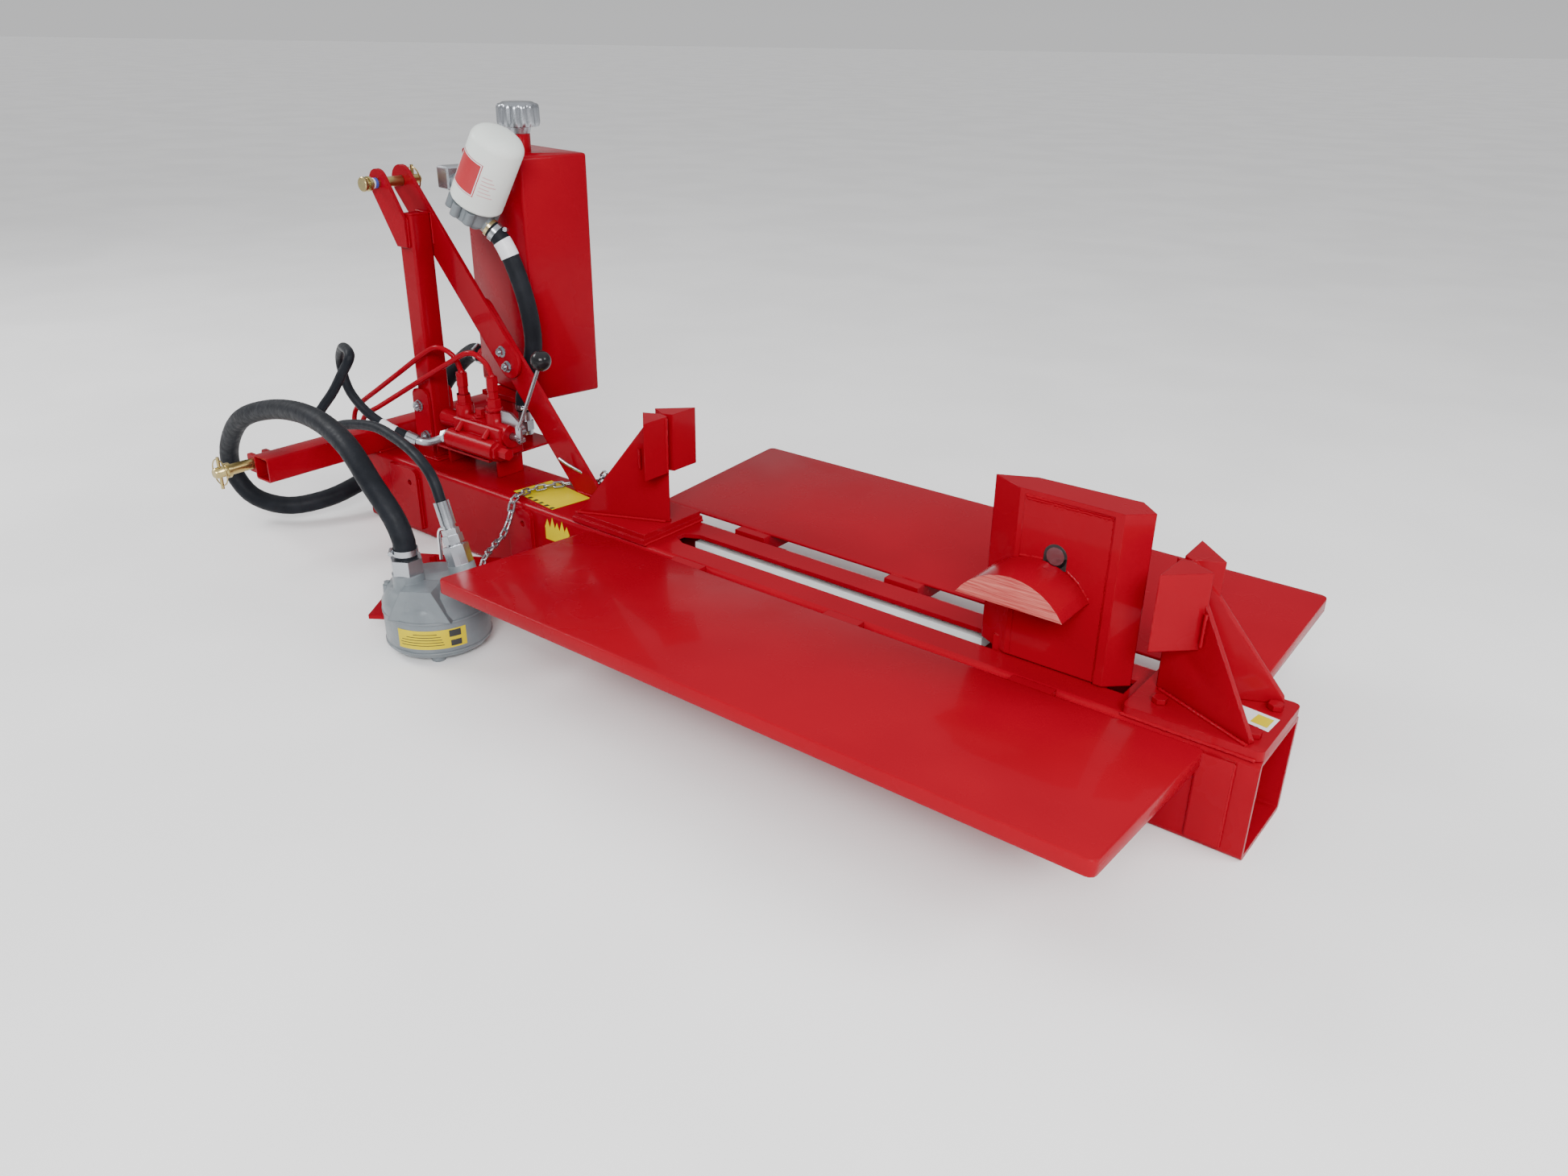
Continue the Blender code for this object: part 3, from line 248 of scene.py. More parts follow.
LABEL_RED = plain("red_label", (0.42, 0.012, 0.02), (0.36, 0.010, 0.018), 0.35, bump=0.03)
# black print, also used as painted shade in the keyhole slot round the cross pin
BLACK_PRINT_AND_SHADE = plain("black_print_and_shade", (0.012, 0.012, 0.012), (0.02, 0.02, 0.02), 0.4, bump=0.03)
LABEL_BLUE = plain("blue_tape", (0.03, 0.05, 0.30), (0.04, 0.07, 0.36), 0.4, bump=0.03)
PINK_PRINT = plain("pink_print", (0.58, 0.28, 0.29), (0.62, 0.34, 0.35), 0.5, bump=0.02)


def flame_cut():
    """A torch-cut face: fine drag lines under thin paint."""
    s = Shader("flame_cut_face")
    lines = s.noise(34.0, 5.0, 0.7, (0.25, 1.0, 9.0), 0.4)
    s.set(Base_Color=s.mix(s.ramp(lines, 0.38, 0.62), (0.34, 0.035, 0.035), (0.56, 0.16, 0.13)))
    s.set(Roughness=s.ramp(s.noise(60.0, 3.0), 0.3, 0.7, 0.28, 0.45), Coat_Weight=0.4)
    s.set(Normal=s.bump(lines, 0.6, 0.0015, s.rounding(0.002)))
    return s.material


CUT = flame_cut()

# ---------------------------------------------------------------- helpers


def shade(mesh, angle):
    """Smooth normals on curved faces only, so flat faces keep their true normal."""
    mesh.set_sharp_from_angle(angle=math.radians(angle))
    shape = bmesh.new()
    shape.from_mesh(mesh)
    limit = math.radians(angle)
    for face in shape.faces:
        bends = [edge.calc_face_angle(0.0) for edge in face.edges if len(edge.link_faces) == 2]
        face.smooth = any(math.radians(1.0) < bend < limit for bend in bends)
    shape.to_mesh(mesh)
    shape.free()


def finish_piece(made, body, material, smooth=35.0):
    if not made.data.materials:
        made.data.materials.append(material)
    if made.type == "MESH":
        shade(made.data, smooth)
    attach(made, body)
    return made


def keep(shape, name):
    shape.normal_update()
    bmesh.ops.recalc_face_normals(shape, faces=shape.faces)
    mesh = bpy.data.meshes.new(name)
    shape.to_mesh(mesh)
    shape.free()
    made = bpy.data.objects.new(name, mesh)
    bpy.context.scene.collection.objects.link(made)
    return made


def aim(position, direction):
    turn = Vector(direction).to_track_quat("Z", "Y").to_matrix().to_4x4()
    return Matrix.Translation(Vector(position)) @ turn


def add_rod(shape, start, end, radius, sides=32, end_radius=None):
    start, end = Vector(start), Vector(end)
    bmesh.ops.create_cone(
        shape,
        cap_ends=True,
        segments=sides,
        radius1=radius,
        radius2=radius if end_radius is None else end_radius,
        depth=(end - start).length,
        matrix=aim((start + end) / 2, end - start),
    )


def add_box(shape, low, high):
    size, middle = Vector(high) - Vector(low), (Vector(high) + Vector(low)) / 2
    bmesh.ops.create_cube(shape, size=1.0, matrix=Matrix.Translation(middle) @ Matrix.Diagonal((*size, 1.0)))


def add_turned(shape, profile, base, axis, steps=64):
    """Rings of (radius, height) about an axis, closed where the radius is nought."""
    place = aim(base, axis)
    rings = []
    for radius, height in profile:
        if radius < 1e-7:
            rings.append([shape.verts.new(place @ Vector((0, 0, height)))])
            continue
        turns = [2 * math.pi * i / steps for i in range(steps)]
        spots = [Vector((radius * math.cos(a), radius * math.sin(a), height)) for a in turns]
        rings.append([shape.verts.new(place @ spot) for spot in spots])
    for first, second in zip(rings, rings[1:]):
        for i in range(steps):
            j = (i + 1) % steps
            near = (first[i % len(first)], first[j % len(first)])
            far = (second[j % len(second)], second[i % len(second)])
            unique = list(dict.fromkeys((*near, *far)))
            if len(unique) > 2:
                shape.faces.new(unique)


def spline_points(route, spacing):
    """Points about spacing apart on a smooth curve with a straight leg at each end."""
    knots = [Vector(point) for point in route]
    found = knots[:2]
    for before, start, end, after in zip(knots, knots[1:], knots[2:], knots[3:]):
        pieces = max(1, round((end - start).length / spacing))
        for piece in range(1, pieces + 1):
            t = piece / pieces
            bend = 2 * start + (end - before) * t
            bend += (2 * before - 5 * start + 4 * end - after) * t**2
            bend += (3 * start - before - 3 * end + after) * t**3
            found.append(bend / 2)
    return [*found, knots[-1]]


def curve_piece(name, points, radius, detail=4, radii=None, closed=False):
    curve = bpy.data.curves.new(name, "CURVE")
    curve.dimensions = "3D"
    curve.bevel_depth = radius
    curve.bevel_resolution = detail
    curve.use_fill_caps = not closed
    spline = curve.splines.new("POLY")
    spline.points.add(len(points) - 1)
    for i, (point, place) in enumerate(zip(spline.points, points)):
        point.co = (*place, 1.0)
        point.radius = radii[i] if radii else 1.0
    spline.use_cyclic_u = closed
    spline.use_smooth = True
    made = bpy.data.objects.new(name, curve)
    bpy.context.scene.collection.objects.link(made)
    return made


def route_length(points):
    return sum((b - a).length for a, b in zip(points, points[1:]))


def along(points, distance):
    """The point and direction at a distance along a route."""
    for a, b in zip(points, points[1:]):
        step = (b - a).length
        if distance <= step:
            return a + (b - a) * (distance / step), (b - a).normalized()
        distance -= step
    return points[-1], (points[-1] - points[-2]).normalized()


def stretch_of(points, start, end, spacing=0.008):
    count = max(2, round((end - start) / spacing))
    return [along(points, start + (end - start) * i / count)[0] for i in range(count + 1)]


# ---------------------------------------------------------------- CAD nodes that keep their shape

FINISH = {
    "red_paint": RED,
    "zinc_plate": ZINC,
    "yellow_zinc": YELLOW_ZINC,
    "grey_casting": CAST,
    "chrome": CHROME,
    "white_paint": WHITE,
    "bare_steel": STEEL,
    "black_hose": HOSE,
    "black_plastic": BLACK,
}
SLOT_OF = {row["node"]: row["material_slot"] for row in frame["record"]["subparts"]}
BODY_OF = {n: body for body, members in frame["record"]["behaviour"]["bodies"].items() for n in members}


def refined(node):
    """A copy of a CAD node with clean flat faces and smooth round ones."""
    mesh = NODES[node].data.copy()
    shape = bmesh.new()
    shape.from_mesh(mesh)
    bmesh.ops.remove_doubles(shape, verts=shape.verts, dist=0.00002)
    shape.normal_update()
    bmesh.ops.dissolve_limit(
        shape, angle_limit=math.radians(0.6), use_dissolve_boundaries=False,
        verts=shape.verts, edges=shape.edges,
    )
    shape.to_mesh(mesh)
    shape.free()
    mesh.materials.clear()
    made = bpy.data.objects.new(node + "_look", mesh)
    bpy.context.scene.collection.objects.link(made)
    finish_piece(made, BODY_OF[node], FINISH[SLOT_OF[node]])
    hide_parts(node)
    if node.startswith("side_wing"):
        made.data.materials.append(CUT)
        for face in made.data.polygons:
            face.material_index = int(abs(face.normal.y) > 0.99 and abs(face.center.y) > 0.13)


REBUILT = {
    "suction_hose", "return_hose", "pressure_hose", "tether_chain", "filter_canister",
    "breather_cap", "lever_knob", "steel_tube_rear", "steel_tube_front",
}
for node_name in sorted(NODES):
    if node_name not in REBUILT:
        refined(node_name)

# ---------------------------------------------------------------- hoses and tubes

SUCTION_ROUTE = (
    (-0.507, -0.512, 0.2255), (-0.507, -0.512, 0.260), (-0.529, -0.515, 0.312),
    (-0.585, -0.520, 0.375), (-0.703, -0.500, 0.440), (-0.893, -0.460, 0.450),
    (-1.122, -0.420, 0.412), (-1.327, -0.400, 0.342), (-1.478, -0.370, 0.232),
    (-1.525, -0.350, 0.140), (-1.478, -0.330, 0.073), (-1.395, -0.280, 0.050),
    (-1.343, -0.190, 0.058), (-1.332, -0.090, 0.078), (-1.333, 0.020, 0.108),
    (-1.330, 0.110, 0.160), (-1.322, 0.175, 0.235), (-1.295, 0.210, 0.315),
    (-1.240, 0.231, 0.380), (-1.180, 0.228, 0.418), (-1.132, 0.2120, 0.430),
    (-1.0976, 0.2059, 0.430),
)
RETURN_ROUTE = (
    (-0.8212, 0.0465, 0.8193), (-0.8074, 0.0529, 0.8063), (-0.786, 0.062, 0.770),
    (-0.763, 0.072, 0.705), (-0.746, 0.082, 0.620), (-0.748, 0.089, 0.530),
    (-0.776, 0.085, 0.440), (-0.790, 0.080, 0.390), (-0.790, 0.080, 0.3603),
)
PRESSURE_ROUTE = (
    (-1.0305, -0.1203, 0.2902), (-1.0673, -0.1397, 0.3057), (-1.140, -0.155, 0.338),
    (-1.211, -0.152, 0.378), (-1.237, -0.150, 0.423), (-1.225, -0.160, 0.470),
    (-1.138, -0.200, 0.521), (-1.050, -0.240, 0.520), (-1.083, -0.252, 0.467),
    (-1.119, -0.260, 0.419), (-1.165, -0.277, 0.362), (-1.146, -0.298, 0.338),
    (-1.080, -0.312, 0.345), (-0.960, -0.330, 0.385), (-0.826, -0.345, 0.412),
    (-0.721, -0.365, 0.415), (-0.622, -0.385, 0.405), (-0.553, -0.398, 0.380),
    (-0.5271, -0.400, 0.3468), (-0.5171, -0.400, 0.3183),
)
REAR_TUBE_ROUTE = (
    (-0.920, -0.010, 0.4303), (-0.920, -0.010, 0.455), (-0.928, -0.018, 0.492),
    (-0.952, -0.030, 0.513), (-0.987, -0.038, 0.513), (-1.040, -0.046, 0.483),
    (-1.120, -0.052, 0.432), (-1.220, -0.060, 0.368), (-1.310, -0.066, 0.310),
    (-1.346, -0.067, 0.270), (-1.354, -0.064, 0.215), (-1.332, -0.056, 0.167),
    (-1.280, -0.043, 0.151), (-1.240, -0.038, 0.150), (-1.2003, -0.038, 0.150),
)
FRONT_TUBE_ROUTE = (
    (-0.800, -0.010, 0.4403), (-0.800, -0.010, 0.465), (-0.805, -0.018, 0.497),
    (-0.825, -0.032, 0.521), (-0.858, -0.038, 0.520), (-0.920, -0.046, 0.487),
    (-1.030, -0.054, 0.426), (-1.120, -0.058, 0.376), (-1.220, -0.064, 0.320),
    (-1.285, -0.070, 0.283), (-1.306, -0.074, 0.245), (-1.307, -0.077, 0.195),
    (-1.290, -0.079, 0.160), (-1.240, -0.079, 0.140), (-1.180, -0.079, 0.090),
    (-1.120, -0.079, 0.055), (-1.000, -0.079, 0.050), (-0.500, -0.079, 0.050),
    (-0.340, -0.078, 0.050), (-0.308, -0.076, 0.054), (-0.290, -0.0660, 0.0665),
    (-0.290, -0.0475, 0.0815),
)
CHAIN_ROUTE = (
    (-0.480, 0.062, 0.265), (-0.520, 0.070, 0.228), (-0.585, 0.068, 0.212),
    (-0.622, 0.018, 0.211), (-0.640, -0.036, 0.211), (-0.632, -0.092, 0.2125),
    (-0.626, -0.117, 0.203), (-0.630, -0.127, 0.165), (-0.620, -0.160, 0.132),
    (-0.600, -0.205, 0.124), (-0.565, -0.265, 0.118), (-0.546, -0.300, 0.084),
)


SKIN = 0.0003
TUBE_RADIUS = 0.0069


def make_hose(node, route, radius, material, bands=()):
    """A hose with the faint ribs of its wrapping, and the printed bands round it."""
    points = spline_points(route, 0.012)
    wraps = [1.0 if number % 2 else 0.988 for number in range(len(points))]
    hose = curve_piece(node + "_look", points, radius - SKIN, 8, wraps)
    finish_piece(hose, "frame", material)
    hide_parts(node)
    for number, (start, end, extra) in enumerate(bands):
        spots = stretch_of(points, start, end)
        band = curve_piece(f"{node}_band_{number}", spots, radius + extra, 8)
        finish_piece(band, "frame", BAND)


make_hose("suction_hose", SUCTION_ROUTE, 0.0248, HOSE)
make_hose("return_hose", RETURN_ROUTE, 0.0225, HOSE, [(0.040, 0.082, 0.0004)])
make_hose("pressure_hose", PRESSURE_ROUTE, 0.0125, HOSE_SMALL, [(0.030, 0.075, 0.0004)])
for node_name, route in (("steel_tube_rear", REAR_TUBE_ROUTE), ("steel_tube_front", FRONT_TUBE_ROUTE)):
    pipe = curve_piece(node_name + "_look", spline_points(route, 0.010), TUBE_RADIUS, 6)
    finish_piece(pipe, "frame", RED_WELD)
    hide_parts(node_name)


def make_chain():
    """Oval links along the route, each turned a quarter from the last."""
    points = spline_points(CHAIN_ROUTE, 0.008)
    pitch, length, width, wire = 0.0235, 0.0345, 0.0185, 0.0028
    count = int(route_length(points) / pitch)
    shape = bmesh.new()
    for number in range(count):
        middle, way = along(points, (number + 0.5) * pitch)
        side = way.cross(Vector((0.3, 0.2, 1.0))).normalized()
        up = side.cross(way)
        lean = math.radians(45 if number % 2 else -45)
        across = side * math.cos(lean) + up * math.sin(lean)
        over = way.cross(across)
        loop = []
        for i in range(20):
            a = 2 * math.pi * i / 20
            straight = (length - width) / 2 * (1 if math.cos(a) > 0 else -1)
            reach = width / 2 - wire
            loop.append((way * (straight + reach * math.cos(a)), across * reach * math.sin(a)))
        rings = []
        for i in range(20):
            centre = loop[i][0] + loop[i][1]
            ahead = loop[(i + 1) % 20][0] + loop[(i + 1) % 20][1]
            behind = loop[i - 1][0] + loop[i - 1][1]
            tangent = (ahead - behind).normalized()
            out = tangent.cross(over)
            spots = [2 * math.pi * k / 8 for k in range(8)]
            rings.append([
                shape.verts.new(middle + centre + wire * (out * math.cos(b) + over * math.sin(b)))
                for b in spots
            ])
        for i in range(20):
            first, second = rings[i], rings[(i + 1) % 20]
            for k in range(8):
                shape.faces.new((first[k], first[(k + 1) % 8], second[(k + 1) % 8], second[k]))
    chain = keep(shape, "tether_chain_look")
    finish_piece(chain, "frame", ZINC, 60)
    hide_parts("tether_chain")


make_chain()

# ---------------------------------------------------------------- filter, cap, knob

FILTER_RIM = Vector((-0.845, 0.03, 0.882))
FILTER_LEAN = Vector((0.529, 0.059, 0.847)).normalized()


def make_canister():
    shape = bmesh.new()
    length = 0.17
    profile = [
        (0.0, length + 0.0198), (0.016, length + 0.0192), (0.032, length + 0.0170), (0.046, length + 0.0125),
        (0.056, length + 0.0060), (0.0620, length - 0.0020), (0.0646, length - 0.0100), (0.0648, 0.020),
        (0.0642, 0.012), (0.0648, 0.008), (0.0648, 0.0035), (0.0632, 0.0010), (0.0, 0.0008),
    ]
    add_turned(shape, profile, FILTER_RIM, FILTER_LEAN, 72)
    can = keep(shape, "filter_canister_look")
    finish_piece(can, "filter_canister", WHITE, 50)
    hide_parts("filter_canister")


def spot_round(radius, degrees, height):
    a = math.radians(degrees)
    return Vector((radius * math.cos(a), radius * math.sin(a), height))


def round_sheet(name, body, material, place, radius, heights, turns, steps=24):
    """A thin sheet round an axis, between two heights and two angles in degrees."""
    first, last = turns
    shape = bmesh.new()
    angles = [first + (last - first) * i / steps for i in range(steps + 1)]
    rows = [
        [shape.verts.new(place @ spot_round(radius, angle, height)) for angle in angles]
        for height in heights
    ]
    for i in range(steps):
        shape.faces.new((rows[0][i], rows[0][i + 1], rows[1][i + 1], rows[1][i]))
    finish_piece(keep(shape, name), body, material, 80)


def wrap_label(name, low, high, first, last, radius, material):
    """A sheet round the filter canister."""
    place = aim(FILTER_RIM, FILTER_LEAN)
    round_sheet(name, "filter_canister", material, place, radius, (low, high), (first, last))


CAP_RINGS = (
    (0.012, 1.0972, 0.0), (0.036, 1.0972, 0.0), (0.0385, 1.0962, 0.0), (0.0405, 1.0945, 0.0),
    (0.0480, 1.0925, 0.0012), (0.0512, 1.0885, 0.0026), (0.0522, 1.0820, 0.0046),
    (0.0526, 1.0520, 0.0046), (0.0518, 1.0470, 0.0030), (0.0495, 1.0410, 0.0006),
    (0.032, 1.0392, 0.0), (0.0300, 1.0385, 0.0), (0.0262, 1.0245, 0.0),
)
CAP_FLUTES = 14


def make_cap():
    """The breather cap: rings of (radius, height, depth of the finger flutes)."""
    shape = bmesh.new()
    steps = 96
    place = Matrix.Translation((-0.87, 0.20, 0.0))
    rings = []
    for radius, height, scallop in CAP_RINGS:
        spots = []
        for i in range(steps):
            a = 2 * math.pi * i / steps
            r = radius - scallop * (0.5 - 0.5 * math.cos(a * CAP_FLUTES)) ** 3
            spots.append(shape.verts.new(place @ Vector((r * math.cos(a), r * math.sin(a), height))))
        rings.append(spots)
    for first, second in zip(rings, rings[1:]):
        for i in range(steps):
            j = (i + 1) % steps
            shape.faces.new((first[i], first[j], second[j], second[i]))
    shape.faces.new(rings[0])
    shape.faces.new(rings[-1])
    cap = keep(shape, "breather_cap_look")
    finish_piece(cap, "breather_cap", ZINC, 40)
    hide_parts("breather_cap")


def make_knob():
    shape = bmesh.new()
    bmesh.ops.create_uvsphere(shape, u_segments=40, v_segments=24, radius=0.0249)
    shape.transform(Matrix.Translation((-0.597, -0.0187, 0.543)))
    knob = keep(shape, "lever_knob_look")
    finish_piece(knob, "lever", BLACK, 80)
    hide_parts("lever_knob")


make_canister()
make_cap()
make_knob()

# ---------------------------------------------------------------- small hardware and seams


def solid(name, body, material, parts, smooth=35.0):
    """One mesh from rods and boxes: ("rod", start, end, radius, sides) or ("box", low, high)."""
    shape = bmesh.new()
    for kind, *values in parts:
        if kind == "rod":
            add_rod(shape, *values)
        elif kind == "turned":
            add_turned(shape, *values)
        else:
            add_box(shape, *values)
    return finish_piece(keep(shape, name), body, material, smooth)


def sheet_patch(name, body, material, corners, lift=0.0004):
    """A thin label lying on a flat face, given by its corners."""
    spots = [Vector(corner) for corner in corners]
    normal = (spots[1] - spots[0]).cross(spots[2] - spots[0]).normalized()
    shape = bmesh.new()
    shape.faces.new([shape.verts.new(spot + normal * lift) for spot in spots])
    mesh = bpy.data.meshes.new(name)
    shape.to_mesh(mesh)
    shape.free()
    made = bpy.data.objects.new(name, mesh)
    bpy.context.scene.collection.objects.link(made)
    return finish_piece(made, body, material)


def weld_lines(name, body, lines, radius=0.0034, material=None):
    """Rippled beads along seams, all in one curve."""
    curve = bpy.data.curves.new(name, "CURVE")
    curve.dimensions = "3D"
    curve.bevel_depth = radius
    curve.bevel_resolution = 2
    curve.use_fill_caps = True
    for line in lines:
        knots = [Vector(point) for point in line]
        spots = stretch_of(knots, 0.0, route_length(knots) - 1e-6, 0.0042)
        spline = curve.splines.new("POLY")
        spline.points.add(len(spots) - 1)
        spline.use_smooth = True
        for number, (point, place) in enumerate(zip(spline.points, spots)):
            drift = Vector((random.uniform(-1, 1), random.uniform(-1, 1), random.uniform(-1, 1))) * 0.0004
            point.co = (*(place + drift), 1.0)
            point.radius = (1.15 if number % 2 else 0.88) * random.uniform(0.92, 1.08)
    made = bpy.data.objects.new(name, curve)
    bpy.context.scene.collection.objects.link(made)
    return finish_piece(made, body, material or RED_WELD)


def hex_rod(start, end, across):
    return ("rod", start, end, across / 2 / math.cos(math.pi / 6), 6)


def clamp(name, centre, way, radius, width, screw_way):
    """A worm-drive clamp: a thin steel band and its screw housing."""
    centre, way, screw_way = Vector(centre), Vector(way).normalized(), Vector(screw_way).normalized()
    half, outer = width / 2, radius + 0.0012
    band = [(radius, -half), (outer, -half), (outer, half), (radius, half), (radius, -half)]
    shape = bmesh.new()
    add_turned(shape, band, centre, way, 48)
    side = way.cross(screw_way)
    seat = centre + screw_way * (radius + 0.0040)
    add_rod(shape, seat - side * 0.011, seat + side * 0.011, 0.0046, 16)
    add_rod(shape, seat + side * 0.011, seat + side * 0.0155, 0.0058, 6)
    return finish_piece(keep(shape, name), "frame", ZINC)


# pale strips inside the beam under the slot, which make the band seen through the slot bright
solid("slot_pale_strips", "frame", SLOT_PALE, [
    ("box", (-0.170, 0.046, 0.1450), (0.600, 0.086, 0.1705)),
    ("box", (-0.170, -0.086, 0.1450), (0.600, -0.046, 0.1705)),
])

# bolts of the mast and the brace
NEAR_FACE = -0.0410
for number, (x, z) in enumerate(((-1.073, 0.345), (-1.054, 0.265)), 1):
    solid(f"mast_washer_{number}", "frame", ZINC, [
        ("rod", (x, NEAR_FACE, z), (x, NEAR_FACE - 0.0022, z), 0.0150, 32),
        hex_rod((x, NEAR_FACE - 0.002, z), (x, NEAR_FACE - 0.0125, z), 0.0210),
        ("rod", (x, NEAR_FACE - 0.012, z), (x, NEAR_FACE - 0.0170, z), 0.0058, 20),
    ])
for number, (x, z) in enumerate(((-0.80, 0.522), (-0.782, 0.487)), 1):
    solid(f"brace_washer_{number}", "frame", ZINC, [
        ("rod", (x, 0.0301, z), (x, 0.0280, z), 0.0145, 32),
        hex_rod((x, 0.0282, z), (x, 0.0185, z), 0.0195),
        ("rod", (x, 0.019, z), (x, 0.0135, z), 0.0056, 20),
    ])

# valve: union nuts of the two steel tubes, plugs and bolts
for number, (x, z) in enumerate(((-0.92, 0.420), (-0.80, 0.430)), 1):
    solid(f"tube_union_{number}", "frame", RED, [
        hex_rod((x, -0.01, z), (x, -0.01, z + 0.036), 0.027),
        ("rod", (x, -0.01, z + 0.036), (x, -0.01, z + 0.043), 0.0095, 24, 0.0065),
        ("rod", (x, -0.01, z - 0.022), (x, -0.01, z + 0.002), 0.0115, 24),
        hex_rod((x, -0.01, z - 0.042), (x, -0.01, z - 0.020), 0.033),
        ("rod", (x, -0.01, z - 0.050), (x, -0.01, z - 0.041), 0.0215, 32),
    ])
solid("valve_plugs", "frame", RED, [
    hex_rod((-0.858, -0.010, 0.345), (-0.858, -0.010, 0.372), 0.024),
    ("rod", (-0.858, -0.010, 0.350), (-0.858, -0.010, 0.358), 0.0175, 32),
    hex_rod((-0.765, -0.052, 0.29), (-0.738, -0.052, 0.29), 0.040),
    ("rod", (-0.895, -0.060, 0.315), (-0.895, -0.040, 0.335), 0.0075, 20),
    ("rod", (-0.790, -0.060, 0.315), (-0.790, -0.040, 0.335), 0.0075, 20),
])
solid("elbow_nuts", "frame", ZINC, [
    hex_rod((-0.9335, -0.052, 0.290), (-0.9470, -0.052, 0.290), 0.0335),
    hex_rod((-0.9490, -0.0525, 0.2895), (-0.9600, -0.0590, 0.2850), 0.0290),
])

# filter head, its brass nipple and the clamps of the hoses
outlet = Vector(RETURN_ROUTE[0])
outlet_way = (Vector(RETURN_ROUTE[1]) - outlet).normalized()
solid("return_nipple", "frame", BRASS, [
    hex_rod(outlet - outlet_way * 0.020, outlet - outlet_way * 0.004, 0.036),
    ("rod", outlet - outlet_way * 0.005, outlet + outlet_way * 0.003, 0.0232, 32),
])
clamp("return_clamp", outlet + outlet_way * 0.0155, outlet_way, 0.0231, 0.0125, (0.75, 0.60, 0.25))
clamp("suction_clamp", (-0.507, -0.512, 0.2400), (0, 0, 1), 0.0262, 0.0135, (-0.62, -0.78, 0))
clamp("tank_port_clamp", (-1.110, 0.2075, 0.430), (1, -0.17, 0), 0.0262, 0.0125, (0.0, -0.6, 0.8))
clamp("return_foot_clamp", (-0.790, 0.080, 0.3720), (0, 0, 1), 0.0228, 0.0125, (0.8, -0.6, 0))
wrap_label("filter_panel", 0.043, 0.121, 142, 203, 0.0654, LABEL_RED)
wrap_label("filter_panel_rim", 0.0405, 0.1235, 140, 205, 0.0652, BAND)
wrap_label("filter_panel_edge", 0.0390, 0.1250, 138, 207, 0.0650, LABEL_RED)
for number in range(6):
    height = 0.050 + number * 0.0095
    last_turn = 246 - (number % 3) * 6
    wrap_label(f"filter_print_{number}", height, height + 0.0020, 213, last_turn, 0.0651, PINK_PRINT)

# pump: seams, casting bolts and label
PUMP_AXIS = Vector((-0.50, -0.455, 0.0))
PUMP_PLACE = Matrix.Translation(PUMP_AXIS)
solid("pump_seam", "frame", CAST, [
    (
        "turned", [(0.110, -0.001), (0.1168, 0.0005), (0.1168, 0.0060), (0.110, 0.0075)],
        (-0.50, -0.455, 0.094), (0, 0, 1),
    ),
    (
        "turned", [(0.108, -0.001), (0.1166, 0.0005), (0.1166, 0.0050), (0.108, 0.0065)],
        (-0.50, -0.455, 0.022), (0, 0, 1),
    ),
])
for number, degrees in enumerate((196, 226, 290, 322, 20, 70, 120, 160), 1):
    spot = PUMP_AXIS + spot_round(0.100, degrees, 0.0)
    solid(f"pump_bolt_{number}", "frame", CAST, [
        ("rod", spot + Vector((0, 0, 0.118)), spot + Vector((0, 0, 0.146)), 0.0115, 20, 0.0100),
        hex_rod(spot + Vector((0, 0, 0.146)), spot + Vector((0, 0, 0.1535)), 0.0130),
    ])
round_sheet("pump_label", "frame", YELLOW, PUMP_PLACE, 0.1153, (0.037, 0.082), (277, 354))
for number, (first, last, low, high) in enumerate((
    (296, 322, 0.0715, 0.0732), (288, 326, 0.0650, 0.0667), (282, 327, 0.0585, 0.0602),
    (280, 328, 0.0520, 0.0537), (281, 329, 0.0455, 0.0472), (335, 348, 0.0630, 0.0790),
    (336, 348, 0.0410, 0.0550),
)):
    name = f"pump_print_{number}"
    round_sheet(name, "frame", BLACK_PRINT_AND_SHADE, PUMP_PLACE, 0.1156, (low, high), (first, last), 8)
stack_foot = Vector((-0.469, -0.40, 0.181))
stack_way = (Vector(PRESSURE_ROUTE[-1]) - stack_foot).normalized()

# cast lobes round the filter head
head_place = aim(FILTER_RIM, FILTER_LEAN)
solid("filter_lobes", "frame", CAST, [
    (
        "rod", head_place @ spot_round(0.053, turn, -0.036), head_place @ spot_round(0.053, turn, -0.004),
        0.0125, 20,
    )
    for turn in (95, 135, 175, 215, 325)
])

# adapters stacked on the pump's outlet, and the crimped ferrule of the pressure hose
solid("outlet_stack", "frame", ZINC, [
    hex_rod(stack_foot - stack_way * 0.004, stack_foot + stack_way * 0.044, 0.050),
    ("rod", stack_foot + stack_way * 0.043, stack_foot + stack_way * 0.050, 0.0190, 32),
    hex_rod(stack_foot + stack_way * 0.049, stack_foot + stack_way * 0.068, 0.0400),
    hex_rod(stack_foot + stack_way * 0.0685, stack_foot + stack_way * 0.082, 0.0340),
    ("rod", stack_foot + stack_way * 0.081, stack_foot + stack_way * 0.0920, 0.0140, 32),
    ("rod", stack_foot + stack_way * 0.091, stack_foot + stack_way * 0.1450, 0.0172, 40),
])

# chrome rod bent over behind the pump, and the clip that holds the chain's end
bent = spline_points((
    (-0.640, -0.330, 0.120), (-0.640, -0.330, 0.175), (-0.634, -0.328, 0.196), (-0.612, -0.330, 0.202),
    (-0.575, -0.345, 0.190), (-0.552, -0.352, 0.168), (-0.540, -0.356, 0.150),
), 0.006)
finish_piece(curve_piece("bent_rod", bent, 0.0048, 5), "frame", CHROME)
clip = spline_points((
    (-0.600, 0.018, 0.288), (-0.585, 0.026, 0.276), (-0.560, 0.038, 0.262), (-0.535, 0.048, 0.250),
), 0.006)
finish_piece(curve_piece("chain_clip", clip, 0.0042, 5), "frame", ZINC)

